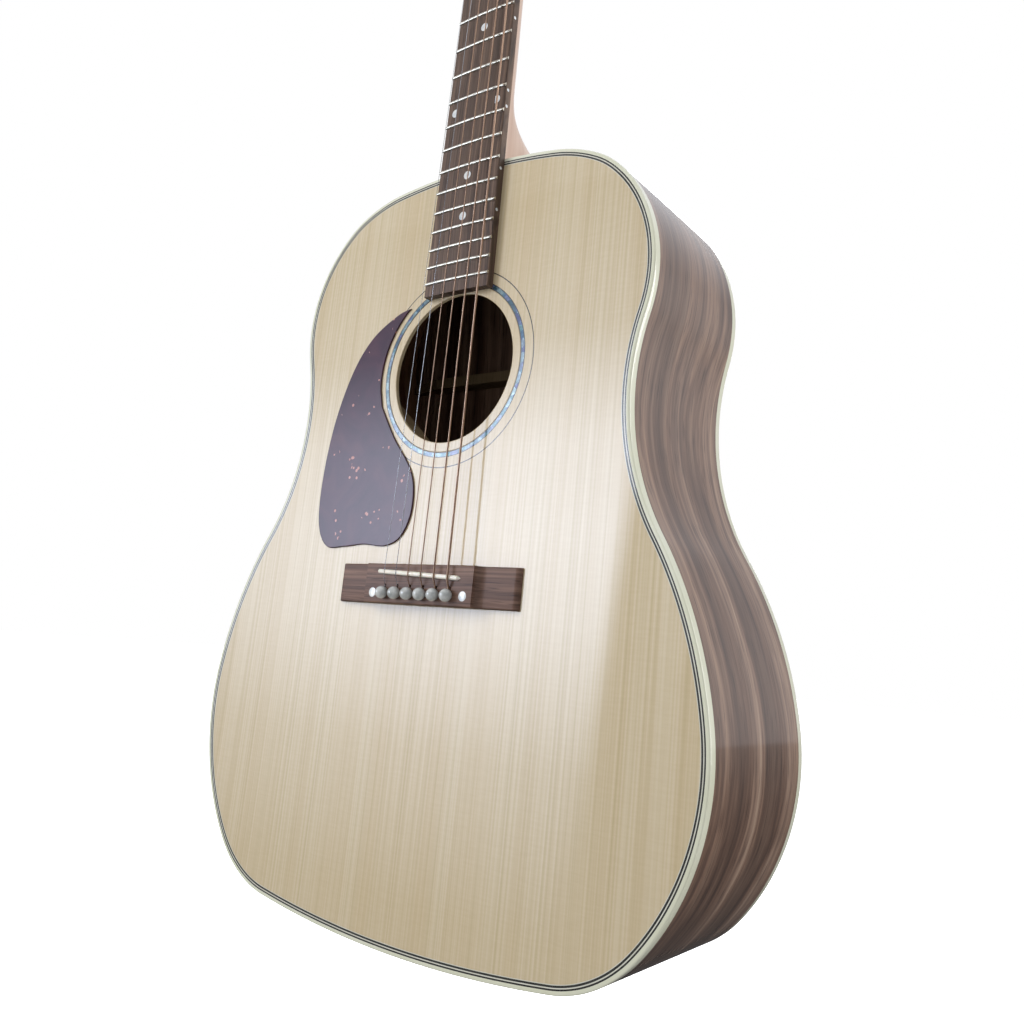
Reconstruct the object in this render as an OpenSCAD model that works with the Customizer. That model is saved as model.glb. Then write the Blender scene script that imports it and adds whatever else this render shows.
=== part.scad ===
// Acoustic guitar, a fourteen-fret flat-top with a dreadnought body, laid out for a left-handed player.
// X is across the body, +X on the bass side. -Y is the front. +Z runs along the neck to the headstock.
// The origin is the middle of the strap pin's head, at the tail of the body.

/* [Body] */
// Depth of the body at the tail, front face to back
tail_depth = 124; // [118:1:128]
// Depth of the body at the neck joint
neck_depth = 101; // [96:1:104]
// Radius of the dished back
dish_r = 4572; // [4000:1:7600]
// Thickness of the soundboard
top_t = 2.8; // [2.6:0.1:3.2]
// Thickness of the back plate
back_t = 2.8; // [2.4:0.1:3.2]
// Thickness of the bent sides
side_t = 2.4; // [2.2:0.1:2.6]
// Height of the binding on the side face
binding_h = 5.5; // [5:0.1:6.5]
// Width of the layered purfling inside the front binding
purfling_w = 3; // [2:0.1:3.4]
// Depth of the channels that hold the purfling and the rosette
inlay_depth = 1.2; // [0.8:0.1:1.6]
// Distance from the tail of the body to the middle of the strap pin's head
tail_z = 10; // [9:0.5:12]

/* [Outline] */
// Radius of the tail curve
tail_r = 840; // [820:1:860]
// Radius of the two lower corners
corner_r = 80; // [78:1:82]
// Radius of the lower bout at its widest
lower_bout_r = 142; // [140:1:144]
// Radius of the lower bout running up to the waist
lower_rise_r = 249; // [246:1:252]
// Radius of the hollow waist
waist_r = 156; // [153:1:159]
// Radius of the upper bout at its widest
upper_bout_r = 96; // [94:1:98]
// Radius of the shoulder
shoulder_r = 63; // [61:1:65]
// Radius of the shoulder running in to the neck
shoulder_rise_r = 111; // [108:1:114]

/* [Soundhole] */
// Height of the soundhole's centre above the tail
hole_z = 355.8; // [354:0.1:356]
// Radius of the soundhole
hole_r = 50.4; // [48:0.2:50.6]
// Inner radius of the shell ring
ring_r = 56.4; // [55:0.2:57]
// Width of the shell ring with its border lines
ring_w = 4.4; // [3.6:0.2:5]
// Radius of the fine outer line
line_r = 66.6; // [65:0.2:67]

/* [Neck] */
// Scale length, nut to the middle of the saddle
scale_len = 628.5; // [628:0.5:629]
// Width of the fretboard at the nut
nut_w = 42.8; // [42:0.1:44]
// Width of the fretboard at its end
board_end_w = 56; // [55:0.5:58]
// Thickness of the fretboard on its centre line
board_t = 6.2; // [6:0.1:6.4]
// Radius of the fretboard's playing face
board_r = 400; // [300:10:500]
// Number of frets
fret_count = 20; // [19:1:20]
// Height of a fret above the board
fret_h = 1; // [0.8:0.1:1.1]
// Depth of the neck wood at the nut
shaft_depth = 14.5; // [14:0.5:16]
// Pitch of the headstock
head_pitch = 14; // [13:0.5:15]
// Length of the headstock
head_len = 172; // [170:1:186]
// Thickness of the headstock wood
head_t = 13.5; // [13:0.5:14.5]

/* [Bridge] */
// Length of the bridge
bridge_len = 151; // [149:1:153]
// Width of the bridge along the strings
bridge_w = 25; // [24:0.5:26]
// Height of the bridge's middle block
bridge_h = 9; // [8.6:0.1:9.4]
// Height of the saddle crown above the front face
saddle_top = 12; // [11.6:0.1:12.6]
// Height of the pin row above the tail
pin_z = 207.3; // [206.5:0.1:208]
// Spacing of the strings at the bridge
pin_gap = 10.9; // [10.6:0.1:11]
// Spacing of the strings at the nut
nut_gap = 7.2; // [7:0.1:7.4]

/* [Tuners] */
// Spacing of the string posts along the headstock
tuner_gap = 46; // [42:1:47]
// Radius of a string post
post_r = 3; // [2.8:0.1:3.1]
// Radius of the worm wheel
wheel_r = 5.8; // [5.4:0.1:6]
// Radius of the worm
worm_r = 2.6; // [2.4:0.1:2.8]

/* [Hidden] */
$fn = 96;
eps = 0.01;
far = 400;

// Front face of the body, and how far the back leans in towards the neck
front_y = -tail_depth / 2;
back_y = tail_depth / 2;
under_y = front_y + top_t;

// Each arc of the half outline: radius, then the angle of its outward normal where it ends.
// A negative radius is hollow. The last arc closes on the centre line.
outline_arcs = [[tail_r, -82], [corner_r, -41], [lower_bout_r, 8.5], [lower_rise_r, 32.5],
    [-waist_r, -16.5], [upper_bout_r, 50], [shoulder_r, 62], [shoulder_rise_r, 82]];
outline_step = 11;

function unit(a) = [cos(a), sin(a)];
function walk(arcs, start, i = 0, c = [0, 0]) =
    let (r = arcs[i][0], a = arcs[i][1], here = [c, r, start, a], p = c + r * unit(a))
    i + 1 == len(arcs)
        ? [here, [p - p.x / cos(a) * unit(a), p.x / cos(a), a, 90]]
        : concat([here], walk(arcs, a, i + 1, p - arcs[i + 1][0] * unit(a)));
outline_walk = walk(outline_arcs, -90, 0, [0, tail_r]);
outline_top = outline_walk[len(outline_walk) - 1][0].y + outline_walk[len(outline_walk) - 1][1];
body_len = outline_top;

// Points of one arc, set in by a distance, without its end point
function arc_points(seg, inset) =
    let (n = max(2, round(abs(seg[1] * (seg[3] - seg[2])) * PI / 180 / outline_step)))
    [for (i = [0 : n - 1]) seg[0] + (seg[1] - inset) * unit(seg[2] + (seg[3] - seg[2]) * i / n)];
function half_outline(inset) =
    concat([for (seg = outline_walk) each arc_points(seg, inset)], [[0, outline_top - inset]]);
function mirrored(points) =
    [for (i = [len(points) - 2 : -1 : 1]) [-points[i].x, points[i].y]];
// Half width of the outline at a height, from the points on either side of it
function width_at(z, inset) =
    let (pts = half_outline(inset))
    max([for (i = [0 : len(pts) - 2])
        (pts[i].y <= z && z <= pts[i + 1].y && pts[i + 1].y > pts[i].y)
            ? pts[i].x + (pts[i + 1].x - pts[i].x) * (z - pts[i].y) / (pts[i + 1].y - pts[i].y) : 0]);

back_lean = asin((tail_depth - neck_depth) / body_len);
dish_rise = pow(body_len / 2, 2) / (2 * dish_r);

module body_shape(inset) polygon(concat(half_outline(inset), mirrored(half_outline(inset))));
// Stands a drawing on the body's plan, from one depth to another, heights counted from the tail
module plan(y0, y1) translate([0, y1, tail_z]) rotate([90, 0, 0]) linear_extrude(y1 - y0) children();
// All that lies in front of the dished back, set in by a distance
dish_reach = 330;
dish_steps = 7;
module dish(inset)
    translate([0, back_y, tail_z]) rotate([back_lean, 0, 0])
        translate([0, dish_rise - inset, body_len / 2]) rotate([-90, 0, 0])
            rotate_extrude($fn = 144)
                polygon(concat([[0, -tail_depth - 60], [dish_reach, -tail_depth - 60]],
                    [for (i = [dish_steps : -1 : 0])
                        let (r = dish_reach * i / dish_steps) [r, -r * r / (2 * dish_r)]]));

// A straight round bar between two points
module rod(p, q, r) {
    v = q - p;
    translate(p) rotate([0, acos(v.z / norm(v)), atan2(v.y, v.x)]) cylinder(r = r, h = norm(v));
}

// --- Fretboard measures, heights counted from the tail ---
nut_z = 217.5 + scale_len;
board_end_z = nut_z - scale_len * (1 - pow(2, -fret_count / 12)) - 9;
nut_len = 5;
function fret_z(n) = nut_z - scale_len * (1 - pow(2, -n / 12));
function board_half(z) = (nut_w + (board_end_w - nut_w) * (nut_z - z) / (nut_z - board_end_z)) / 2;
function camber(x) = x * x / (2 * board_r);

// --- Strings: gauge, and which of them are wound; string 1 is the thinnest, on the treble side ---
string_d = [0.30, 0.41, 0.61, 0.81, 1.07, 1.35];
strings = [0 : 5];
plain = [0, 1];
wound = [2, 3, 4, 5];
saddle_slant = 2.4;
saddle_z = 219.3;
nut_crown = board_t + 1.3;
function string_r(i) = string_d[i] / 2;
function pin_x(i) = (i - 2.5) * pin_gap;
function at_saddle(i) = [pin_x(i), front_y - saddle_top - string_r(i) - 0.03 + camber(pin_x(i)),
    tail_z + saddle_z - pin_x(i) * tan(saddle_slant) - saddle_t / 2];
function at_nut(i) = let (x = (i - 2.5) * nut_gap)
    [x, front_y - nut_crown - string_r(i) + camber(x), tail_z + nut_z + nut_len];

// --- Headstock frame: its origin is on the neck's front face behind the nut ---
head_z = nut_z + nut_len;
module on_head() translate([0, front_y, tail_z + head_z]) rotate([-head_pitch, 0, 0]) children();
function from_head(p) = [p.x, front_y + p.y * cos(head_pitch) + p.z * sin(head_pitch),
    tail_z + head_z - p.y * sin(head_pitch) + p.z * cos(head_pitch)];
function to_head(p) = let (y = p.y - front_y, z = p.z - tail_z - head_z)
    [p.x, y * cos(head_pitch) - z * sin(head_pitch), y * sin(head_pitch) + z * cos(head_pitch)];
head_neck_w = 45;
head_low_w = 70;
head_top_w = 78;
head_flare = 30;
head_corner = 9;
face_t = 1.5;
// Half width of the headstock at a height along it, with the flare above the nut and round top corners
function head_half(z) =
    let (f = min(1, z / head_flare), s = f * f * (3 - 2 * f), up = max(0, z - head_len + head_corner),
        w = z < head_flare ? head_neck_w + (head_low_w - head_neck_w) * s
            : head_low_w + (head_top_w - head_low_w) * (z - head_flare) / (head_len - head_flare))
    w / 2 - head_corner + sqrt(max(0, head_corner * head_corner - up * up));

// --- Tuners: three a side; keys and posts are numbered like the strings ---
// The outer strings, 1 and 6, run to the posts nearest the nut, the inner ones to the posts at the tip.
tuner_low = 36;
function side_of(i) = i < 3 ? -1 : 1;
function post_z(i) = tuner_low + tuner_gap * (i < 3 ? i : 5 - i);
function post_x(i) = side_of(i) * (25.5 + post_z(i) * 0.035);
coil_y = -face_t - 8;
coil_turns = 3;
post_waist_r = post_r - 0.5;
wheel_y = head_t + 2;
wheel_t = 4;
worm_y = wheel_y + wheel_t / 2;
worm_gap = wheel_r + worm_r + 0.1;
key_shaft_r = 2;

// ================= Body =================
spruce = "wheat";
walnut = "#7a6458";
mahogany = "#b08060";
ivory = "#e6e2c4";
nickel = "silver";

// Dovetail of the neck, seen from the front: narrow at the body's edge, wide inside the block
dovetail_len = 19;
dovetail_y = 24;
module dovetail_shape()
    polygon([[-14, body_len + 2], [-14, body_len], [-19, body_len - dovetail_len],
        [19, body_len - dovetail_len], [14, body_len], [14, body_len + 2]]);

// String holes: round for the pin, with a notch for the string on the side of the saddle
pin_hole_r = 2.7;
string_drop = 4.2;
module pin_holes(y0, y1)
    for (i = strings) {
        translate([pin_x(i), y1, tail_z + pin_z]) rotate([90, 0, 0]) cylinder(r = pin_hole_r, h = y1 - y0);
        translate([pin_x(i) - string_r(i) - 0.2, y0, tail_z + pin_z])
            cube([2 * string_r(i) + 0.4, y1 - y0, string_drop + string_r(i) + 0.3]);
    }
// A ring let into the front face
module ring(r, w) translate([0, front_y, tail_z + hole_z]) rotate([-90, 0, 0]) difference() {
    cylinder(r = r + w, h = inlay_depth);
    translate([0, 0, -1]) cylinder(r = r, h = inlay_depth + 2);
}
line_w = 0.7;
module rosette_rings() {
    ring(ring_r, ring_w);
    ring(line_r, line_w);
}

module soundboard() color(spruce) difference() {
    plan(front_y, under_y) body_shape(side_t);
    plan(front_y - 1, front_y + inlay_depth) difference() {
        body_shape(side_t - 1);
        body_shape(side_t + purfling_w);
    }
    translate([0, under_y + 1, tail_z + hole_z]) rotate([90, 0, 0]) cylinder(r = hole_r, h = top_t + 2);
    rosette_rings();
    plan(front_y - 1, under_y + 1) dovetail_shape();
    pin_holes(front_y - 1, under_y + 1);
}

module back_plate() color(walnut) difference() {
    intersection() {
        plan(0, far) body_shape(side_t);
        dish(0);
    }
    dish(back_t);
}

// The tail wedge fills the gap between the ends of the two sides
wedge_half = 8;
module side_wall(side) color(walnut) difference() {
    intersection() {
        plan(front_y + binding_h, far) difference() {
            body_shape(0);
            body_shape(side_t);
        }
        dish(binding_h);
        translate([side > 0 ? 0 : -far, -far, 0]) cube([far, 2 * far, 2 * far]);
    }
    plan(-far, far) translate([-wedge_half, -1]) square([2 * wedge_half, 10]);
    plan(-far, dovetail_y) dovetail_shape();
}
module side_bass() side_wall(1);
module side_treble() side_wall(-1);

module tail_wedge() color("#4a3a33") difference() {
    intersection() {
        plan(front_y + binding_h, far) difference() {
            body_shape(0);
            body_shape(side_t);
        }
        dish(binding_h);
        plan(-far, far) translate([-wedge_half, -1]) square([2 * wedge_half, 10]);
    }
    translate([0, 0, tail_z - 1]) cylinder(r = pin_shank_r, h = 10);
}

// Blocks that close the two ends of the rim from inside
neck_block_half = 38;
neck_block_len = 60;
tail_block_half = 32;
tail_block_len = 24;
module neck_block_shape() translate([-neck_block_half, body_len - neck_block_len])
    square([2 * neck_block_half, neck_block_len]);
module tail_block_shape() translate([-tail_block_half, 0]) square([2 * tail_block_half, tail_block_len]);
module neck_block() color(mahogany) difference() {
    intersection() {
        plan(under_y, far) intersection() {
            body_shape(side_t);
            neck_block_shape();
        }
        dish(back_t);
    }
    plan(under_y - 1, dovetail_y) dovetail_shape();
}
module tail_block() color(mahogany) difference() {
    intersection() {
        plan(under_y, far) intersection() {
            body_shape(side_t);
            tail_block_shape();
        }
        dish(back_t);
    }
    translate([0, 0, tail_z]) cylinder(r = pin_shank_r, h = tail_block_len + 1);
}

// Linings along the rim, widening the glue edge of the front and the back
lining_w = 5.6;
lining_h = 14;
module lining_shape() difference() {
    body_shape(side_t);
    body_shape(side_t + lining_w);
    neck_block_shape();
    tail_block_shape();
}
module front_linings() color("tan") plan(under_y, under_y + lining_h) lining_shape();
module back_linings() color("tan") difference() {
    intersection() {
        plan(0, far) lining_shape();
        dish(back_t);
    }
    dish(back_t + lining_h);
}
// Thin strips across the grain that keep the sides from splitting
strip_w = 12;
strip_t = 1;
module side_strips() color("tan") for (side = [-1, 1], z = [70, 230, 430])
    intersection() {
        plan(under_y + lining_h, far) intersection() {
            difference() {
                body_shape(side_t);
                body_shape(side_t + strip_t);
            }
            translate([side > 0 ? 0 : -far, z - strip_w / 2]) square([far, strip_w]);
        }
        dish(back_t + lining_h);
    }

// ================= Braces =================
brace_w = 8;
x_center = 281;
x_angle = 49;
x_down = 188;
x_up = 158;
// A bar under the soundboard along +X, thinned at both ends
module bar(left, right, w, h, tip = 3, fade = 26)
    translate([0, under_y, -w / 2]) linear_extrude(w)
            polygon([[-left, 0], [-left, tip], [-left + fade, h], [right - fade, h], [right, tip], [right, 0]]);
// Puts a bar at a place on the plan, turned by an angle from +X towards +Z
module at_plan(x, z, angle) translate([x, 0, tail_z + z]) rotate([0, -angle, 0]) children();
x_brace_h = 16;
module x_leg(side, cut_low) difference() {
    at_plan(0, x_center, side * (90 - x_angle)) bar(x_down, x_up, brace_w, x_brace_h, 4, 70);
    translate([0, cut_low ? under_y : under_y + x_brace_h / 2, 0])
        at_plan(0, x_center, -side * (90 - x_angle))
            translate([-60, 0, -brace_w / 2]) cube([120, x_brace_h / 2, brace_w]);
}
module x_brace_bass() color(spruce) intersection() {
    x_leg(1, true);
    plan(-far, far) body_shape(side_t + lining_w + 0.5);
}
module x_brace_treble() color(spruce) intersection() {
    x_leg(-1, false);
    plan(-far, far) body_shape(side_t + lining_w + 0.5);
}
upper_brace_z = 424;
module upper_brace() color(spruce) {
    half = width_at(upper_brace_z, side_t + lining_w) - 1.5;
    at_plan(0, upper_brace_z, 0) bar(half, half, 10, 15, 4, 22);
}
module tone_bars() color(spruce) {
    at_plan(10, 150, 28) bar(70, 70, brace_w, 12);
    at_plan(22, 95, 28) bar(75, 75, brace_w, 12);
}
finger_from = [112, 160];
module finger_braces() color(spruce) for (side = [-1, 1], d = finger_from)
    at_plan(side * d * sin(x_angle), x_center - d * cos(x_angle), side > 0 ? x_angle : 180 - x_angle)
        translate([brace_w / 2 + 1, 0, 0]) bar(0, 46, 6, 8, 2, 14);
module soundhole_braces() color(spruce) for (side = [-1, 1])
    at_plan(side * 61, 381, 90) bar(28, 28, 6, 6, 2, 14);
plate_t = 2.4;
module bridge_plate() color("burlywood") difference() {
    plan(under_y, under_y + plate_t)
        polygon([[-40, 236], [40, 236], [76, 205], [76, 192], [-76, 192], [-76, 205]]);
    pin_holes(under_y - 1, under_y + plate_t + 1);
}
back_brace_z = [52, 150, 268, 382];
back_brace_h = [15, 15, 12, 12];
module back_braces() color(spruce) for (i = [0 : 3]) intersection() {
    half = width_at(back_brace_z[i], side_t + lining_w) - 4;
    rim_y = back_y - back_brace_z[i] * tan(back_lean);
    translate([0, rim_y, tail_z + back_brace_z[i] - 4]) linear_extrude(8)
        polygon([[-half, 10], [-half, -5], [-half + 30, -back_brace_h[i]], [half - 30, -back_brace_h[i]],
            [half, -5], [half, 10]]);
    dish(back_t);
}
// Cross-grain strip over the back seam, let in between the back braces
strip_half = 9;
module back_strip() color(spruce) difference() {
    intersection() {
        plan(0, far) translate([-strip_half, tail_block_len + 1])
            square([2 * strip_half, body_len - neck_block_len - tail_block_len - 2]);
        dish(back_t);
    }
    dish(back_t + 2.5);
    for (z = back_brace_z) translate([-far / 2, -far / 2, tail_z + z - 4]) cube([far, far, 8]);
}

// ================= Edges and trim =================
module front_binding() color(ivory) difference() {
    plan(front_y, front_y + binding_h) difference() {
        body_shape(0);
        body_shape(side_t);
    }
    plan(-far, far) dovetail_shape();
}
module front_purfling() color("#4a4a40") difference() {
    plan(front_y, front_y + inlay_depth) difference() {
        body_shape(side_t);
        body_shape(side_t + purfling_w);
    }
    plan(-far, far) dovetail_shape();
}
module back_binding() color(ivory) difference() {
    intersection() {
        plan(0, far) difference() {
            body_shape(0);
            body_shape(side_t);
        }
        dish(0);
    }
    dish(binding_h);
}
module rosette() color("#8fa8b0") rosette_rings();

// Pickguard: hugs the rosette, then swells to a lobe beside the strings.
// Each stretch is an arc: centre, radius, start and end angle.
guard_t = 1.2;
guard_hug_r = 64;
guard_edge = [[-43, 402.5], [-56, 399], [-78, 385], [-94, 362], [-106, 326], [-111, 286], [-109, 254],
    [-98, 237.8], [-80, 237.4], [-61, 239], [-41, 238], [-27, 244.5], [-20, 262], [-24, 286],
    [-45, 312], [-60, 334]];
// A smooth curve through the points, a few steps to each stretch
function curve(p, n) = let (m = len(p) - 1) concat(
    [for (i = [0 : m - 1], k = [0 : n - 1]) let (u = k / n, a = p[max(0, i - 1)], b = p[i], c = p[i + 1],
        d = p[min(m, i + 2)]) b + u * (c - a) / 2 + u * u * (a - 2.5 * b + 2 * c - 0.5 * d)
            + u * u * u * (1.5 * b - 1.5 * c + (d - a) / 2)], [p[m]]);
module pickguard_shape() polygon(concat(curve(guard_edge, 5),
    [for (a = [189 : -4.4 : 134]) [0, hole_z] + guard_hug_r * unit(a)]));
module pickguard() color("#6a5560") plan(front_y - guard_t, front_y) pickguard_shape();

// ================= Bridge =================
block_half = 45.2;
wing_h = 4.2;
wing_end_h = 3.4;
function wing(side) = [[side * bridge_len / 2, 0], [side * bridge_len / 2, -1],
    [side * (bridge_len / 2 - 1.2), -2.4], [side * (bridge_len / 2 - 3), -wing_end_h],
    for (i = [0 : 8]) let (u = i / 8)
        [side * (bridge_len / 2 - 7 - u * (bridge_len / 2 - 7 - block_half - 1.5)),
            -wing_end_h - (wing_h - wing_end_h) * u - 1.4 * pow(u, 6)],
    [side * block_half, -bridge_h + 1.2], [side * (block_half - 0.8), -bridge_h]];
function backwards(points) = [for (i = [len(points) - 1 : -1 : 0]) points[i]];
slot_depth = 5;
saddle_t = 2.8;
saddle_half = 35.4;
module at_saddle_line() translate([0, front_y, tail_z + saddle_z]) rotate([0, saddle_slant, 0]) children();
module saddle_slab(extra) translate([-saddle_half, -bridge_h - extra, -saddle_t / 2])
    cube([2 * saddle_half, slot_depth + extra, saddle_t]);
module dot_holes() for (side = [-1, 1])
    translate([side * 38.2, front_y - bridge_h + 1.5, tail_z + pin_z]) rotate([90, 0, 0]) children();
dot_r = 3;
module bridge() color("#8a7468") difference() {
    translate([0, front_y, tail_z + pin_z - 6.5]) linear_extrude(bridge_w)
        polygon(concat(wing(-1), backwards(wing(1))));
    at_saddle_line() saddle_slab(1);
    pin_holes(front_y - bridge_h - 1, front_y + 1);
    dot_holes() cylinder(r = dot_r, h = 10);
}
module bridge_dots() color("white") dot_holes() cylinder(r = dot_r, h = 1.5);
// The saddle stands on the bottom of its slot; its crown follows the fretboard's radius
module saddle() color("ivory") at_saddle_line()
    translate([0, 0, -saddle_t / 2]) linear_extrude(saddle_t)
        polygon(concat([[saddle_half, slot_depth - bridge_h], [-saddle_half, slot_depth - bridge_h]],
            [for (i = [-6 : 6]) let (x = saddle_half * i / 6)
                [x, -saddle_top + camber(x) + (abs(i) == 6 ? 1 : 0)]]));
pin_ball_r = 4;
pin_len = 20;
module bridge_pins() color("#c8ccd0") for (i = strings)
    translate([pin_x(i), front_y - bridge_h, tail_z + pin_z]) rotate([90, 0, 0]) {
        translate([0, 0, 2.7]) intersection() {
            sphere(r = pin_ball_r);
            translate([0, 0, -2.65]) cylinder(r = 6, h = 8);
        }
        translate([0, 0, -pin_len]) cylinder(r1 = 2, r2 = 2.6, h = pin_len);
    }

// Strap pin: round head, hollow waist, collar against the tail, shank in the tail block
pin_shank_r = 5;
head_pin_r = 7;
module end_pin() color("ivory") rotate_extrude()
    polygon([[0, -3], [4, -2.7], [6, -2.1], [head_pin_r, -1.5], [head_pin_r, 1.5], [5.6, 3],
        [4.6, 4.5], [4.5, 6], [5.2, 7.5], [7.4, tail_z - 1.5], [7.4, tail_z], [pin_shank_r, tail_z],
        [pin_shank_r, tail_z + 18], [4, tail_z + 20], [0, tail_z + 20]]);

// ================= Neck =================
// One loft from the heel to the tip of the headstock. A section is half an oval below the front
// face: heel shape runs from 0 on the shaft to 1 at the body, squareness makes the headstock.
cap_t = 2.5;
cap_y = back_y - body_len * sin(back_lean) - cap_t;
heel_reach = 13;
heel_sweep = 40;
heel_curve = 3;
heel_taper = 0.4;
shaft_round = 1.8;
section_points = 11;
function ease(u) = let (c = max(0, min(1, u))) c * c * (3 - 2 * c);
function mix(a, b, u) = a + (b - a) * u;
function section(z) =
    let (heel = 1 - ease((z - body_len - heel_reach) / heel_sweep),
        sweep = max(0, 1 - max(0, z - body_len - heel_reach) / heel_sweep),
        hz = z - head_z, head = ease((hz + 6) / 30),
        shaft = shaft_depth + 2.5 * (nut_z - z) / (nut_z - body_len),
        w = hz > 0 ? head_half(hz / cos(head_pitch)) : board_half(z),
        top = hz > 0 ? hz * tan(head_pitch) : 0,
        d = mix(shaft + (cap_y - front_y + 6 - shaft) * pow(sweep, heel_curve), head_t / cos(head_pitch), head),
        n = mix(mix(shaft_round, 3, heel), 12, head), half = [for (i = [0 : section_points])
            let (a = 90 * i / section_points, s = pow(sin(a), 2 / n))
            [w * pow(cos(a), 2 / n) * (1 - heel_taper * heel * s), front_y + top + d * s, tail_z + z]])
    concat(half, [for (i = [section_points - 1 : -1 : 0]) [-half[i].x, half[i].y, half[i].z]]);
heel_zs = [for (dz = [-6, 8, 15, 18, 21, 24, 28, 32, 37, 42, 48, 55, 65, 90]) body_len + dz];
shaft_zs = [for (i = [1 : 6]) 590 + (nut_z - 8 - 590) * i / 6];
head_low_zs = [for (z = [0, 4, 8, 13, 18, 24, 30]) head_z + z * cos(head_pitch)];
head_top_zs = [for (z = [head_corner, 7, 4.5, 2, 0.8, 0]) head_z + (head_len - z) * cos(head_pitch)];
neck_zs = concat(heel_zs, shaft_zs, [nut_z - 3], head_low_zs, head_top_zs);
module neck_loft() {
    rings = [for (z = neck_zs) section(z)];
    skin(rings);
}
rod_half = 3.1;
rod_deep = 11;
rod_axis = front_y + 7;
rod_end_z = 520;
pocket_half = 4.6;
pocket_len = 20;
module truss_channel() {
    translate([-rod_half, front_y - 1, tail_z + rod_end_z])
        cube([2 * rod_half, rod_deep + 1, head_z - rod_end_z + 2]);
    translate([-pocket_half, front_y - 4, tail_z + head_z + 1]) cube([2 * pocket_half, 15.2, pocket_len]);
}
bushing_r = 5;
module tuner_holes() for (i = strings)
    on_head() translate([post_x(i), head_t + 1, post_z(i)]) rotate([90, 0, 0])
        cylinder(r = bushing_r, h = head_t + 5);
module neck() color("#d0b8a4") difference() {
    union() {
        difference() {
            neck_loft();
            translate([-far / 2, cap_y, 0]) cube([far, far, 2 * far]);
            plan(front_y - 1, far) body_shape(0);
        }
        plan(front_y, dovetail_y) dovetail_shape();
    }
    truss_channel();
    tuner_holes();
    screw_holes();
    cover_screw_holes();
}
module heel_cap() color(ivory) difference() {
    intersection() {
        neck_loft();
        translate([-far / 2, cap_y, 0]) cube([far, cap_t, 2 * far]);
    }
    plan(front_y - 1, far) body_shape(0);
}

module board_profile() polygon(concat([[40, 0], [-40, 0]],
    [for (i = [-8 : 8]) let (x = 40 * i / 8) [x, -board_t + camber(x)]]));
module board_solid() intersection() {
    translate([0, front_y, tail_z + board_end_z]) linear_extrude(nut_z - board_end_z) board_profile();
    plan(front_y - far, front_y) polygon([[-board_half(board_end_z), board_end_z],
        [board_half(board_end_z), board_end_z], [board_half(nut_z), nut_z], [-board_half(nut_z), nut_z]]);
}
single_dots = [3, 5, 7, 9, 15, 17];
function between(n) = (fret_z(n) + fret_z(n - 1)) / 2;
dot_depth = 1.6;
module dot_posts() {
    for (n = single_dots) dot_post(0, between(n));
    for (x = [-18.5, 18.5]) dot_post(x, between(12));
}
module dot_post(x, z) translate([x, front_y - board_t + dot_depth + camber(x), tail_z + z])
    rotate([90, 0, 0]) cylinder(r = 3, h = 6);
module side_posts() {
    for (n = single_dots) side_post(between(n));
    for (dz = [-6, 6]) side_post(between(12) + dz);
}
module side_post(z) translate([board_half(z) - 2, front_y - board_t / 2 - 0.2, tail_z + z])
    rotate([0, 90, 0]) cylinder(r = 1.1, h = 6);
tang_t = 0.6;
tang_h = 2.2;
fret_w = 2.2;
function fret_arc(half, low, high) = concat(
    [for (i = [-4 : 4]) let (x = half * i / 4) [x, -board_t + camber(x) - high]],
    [for (i = [4 : -1 : -4]) let (x = half * i / 4) [x, -board_t + camber(x) - low]]);
module tangs() for (n = [1 : fret_count])
    translate([0, front_y, tail_z + fret_z(n) - tang_t / 2]) linear_extrude(tang_t)
        polygon(fret_arc(board_half(fret_z(n)) - 0.8, -tang_h, 0.3));
module frets() color(nickel) {
    for (n = [1 : fret_count]) {
        translate([0, front_y, tail_z + fret_z(n) - fret_w / 2]) linear_extrude(fret_w)
            polygon(fret_arc(board_half(fret_z(n)) - 0.2, 0.03, fret_h));
        translate([0, front_y, tail_z + fret_z(n) - tang_t / 2]) linear_extrude(tang_t)
            polygon(fret_arc(board_half(fret_z(n)) - 0.8, -tang_h, 0.1));
    }
}
module fretboard() color("#5a4438") difference() {
    board_solid();
    dot_posts();
    side_posts();
    tangs();
}
module fret_dots() color("white") intersection() {
    board_solid();
    dot_posts();
}
module side_dots() color("white") intersection() {
    board_solid();
    side_posts();
}
// The nut is as wide as the board, with a slot under each string
module nut() color("ivory") difference() {
    translate([0, front_y, tail_z + nut_z]) linear_extrude(nut_len)
        polygon(concat([[nut_w / 2, 0], [-nut_w / 2, 0]],
            [for (i = [-4 : 4]) let (x = nut_w / 2 * i / 4) [x, -nut_crown - 0.5 + camber(x)]]));
    for (i = strings) let (p = at_nut(i), r = string_r(i) + 0.04)
        translate([p.x - r, p.y + r - 10, p.z - 2 * nut_len]) cube([2 * r, 10, 3 * nut_len]);
}
module headstock_face() color("#3a2c26") difference() {
    on_head() rotate([90, 0, 0]) linear_extrude(face_t) polygon(concat(
        [for (z = face_zs) [head_half(z), z]], [for (z = backwards(face_zs)) [-head_half(z), z]]));
    truss_channel();
    tuner_holes();
    cover_screw_holes();
}
face_zs = concat([for (i = [0 : 8]) head_flare * i / 8], [for (z = [9, 7, 4.5, 2, 0.8, 0]) head_len - z]);

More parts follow.
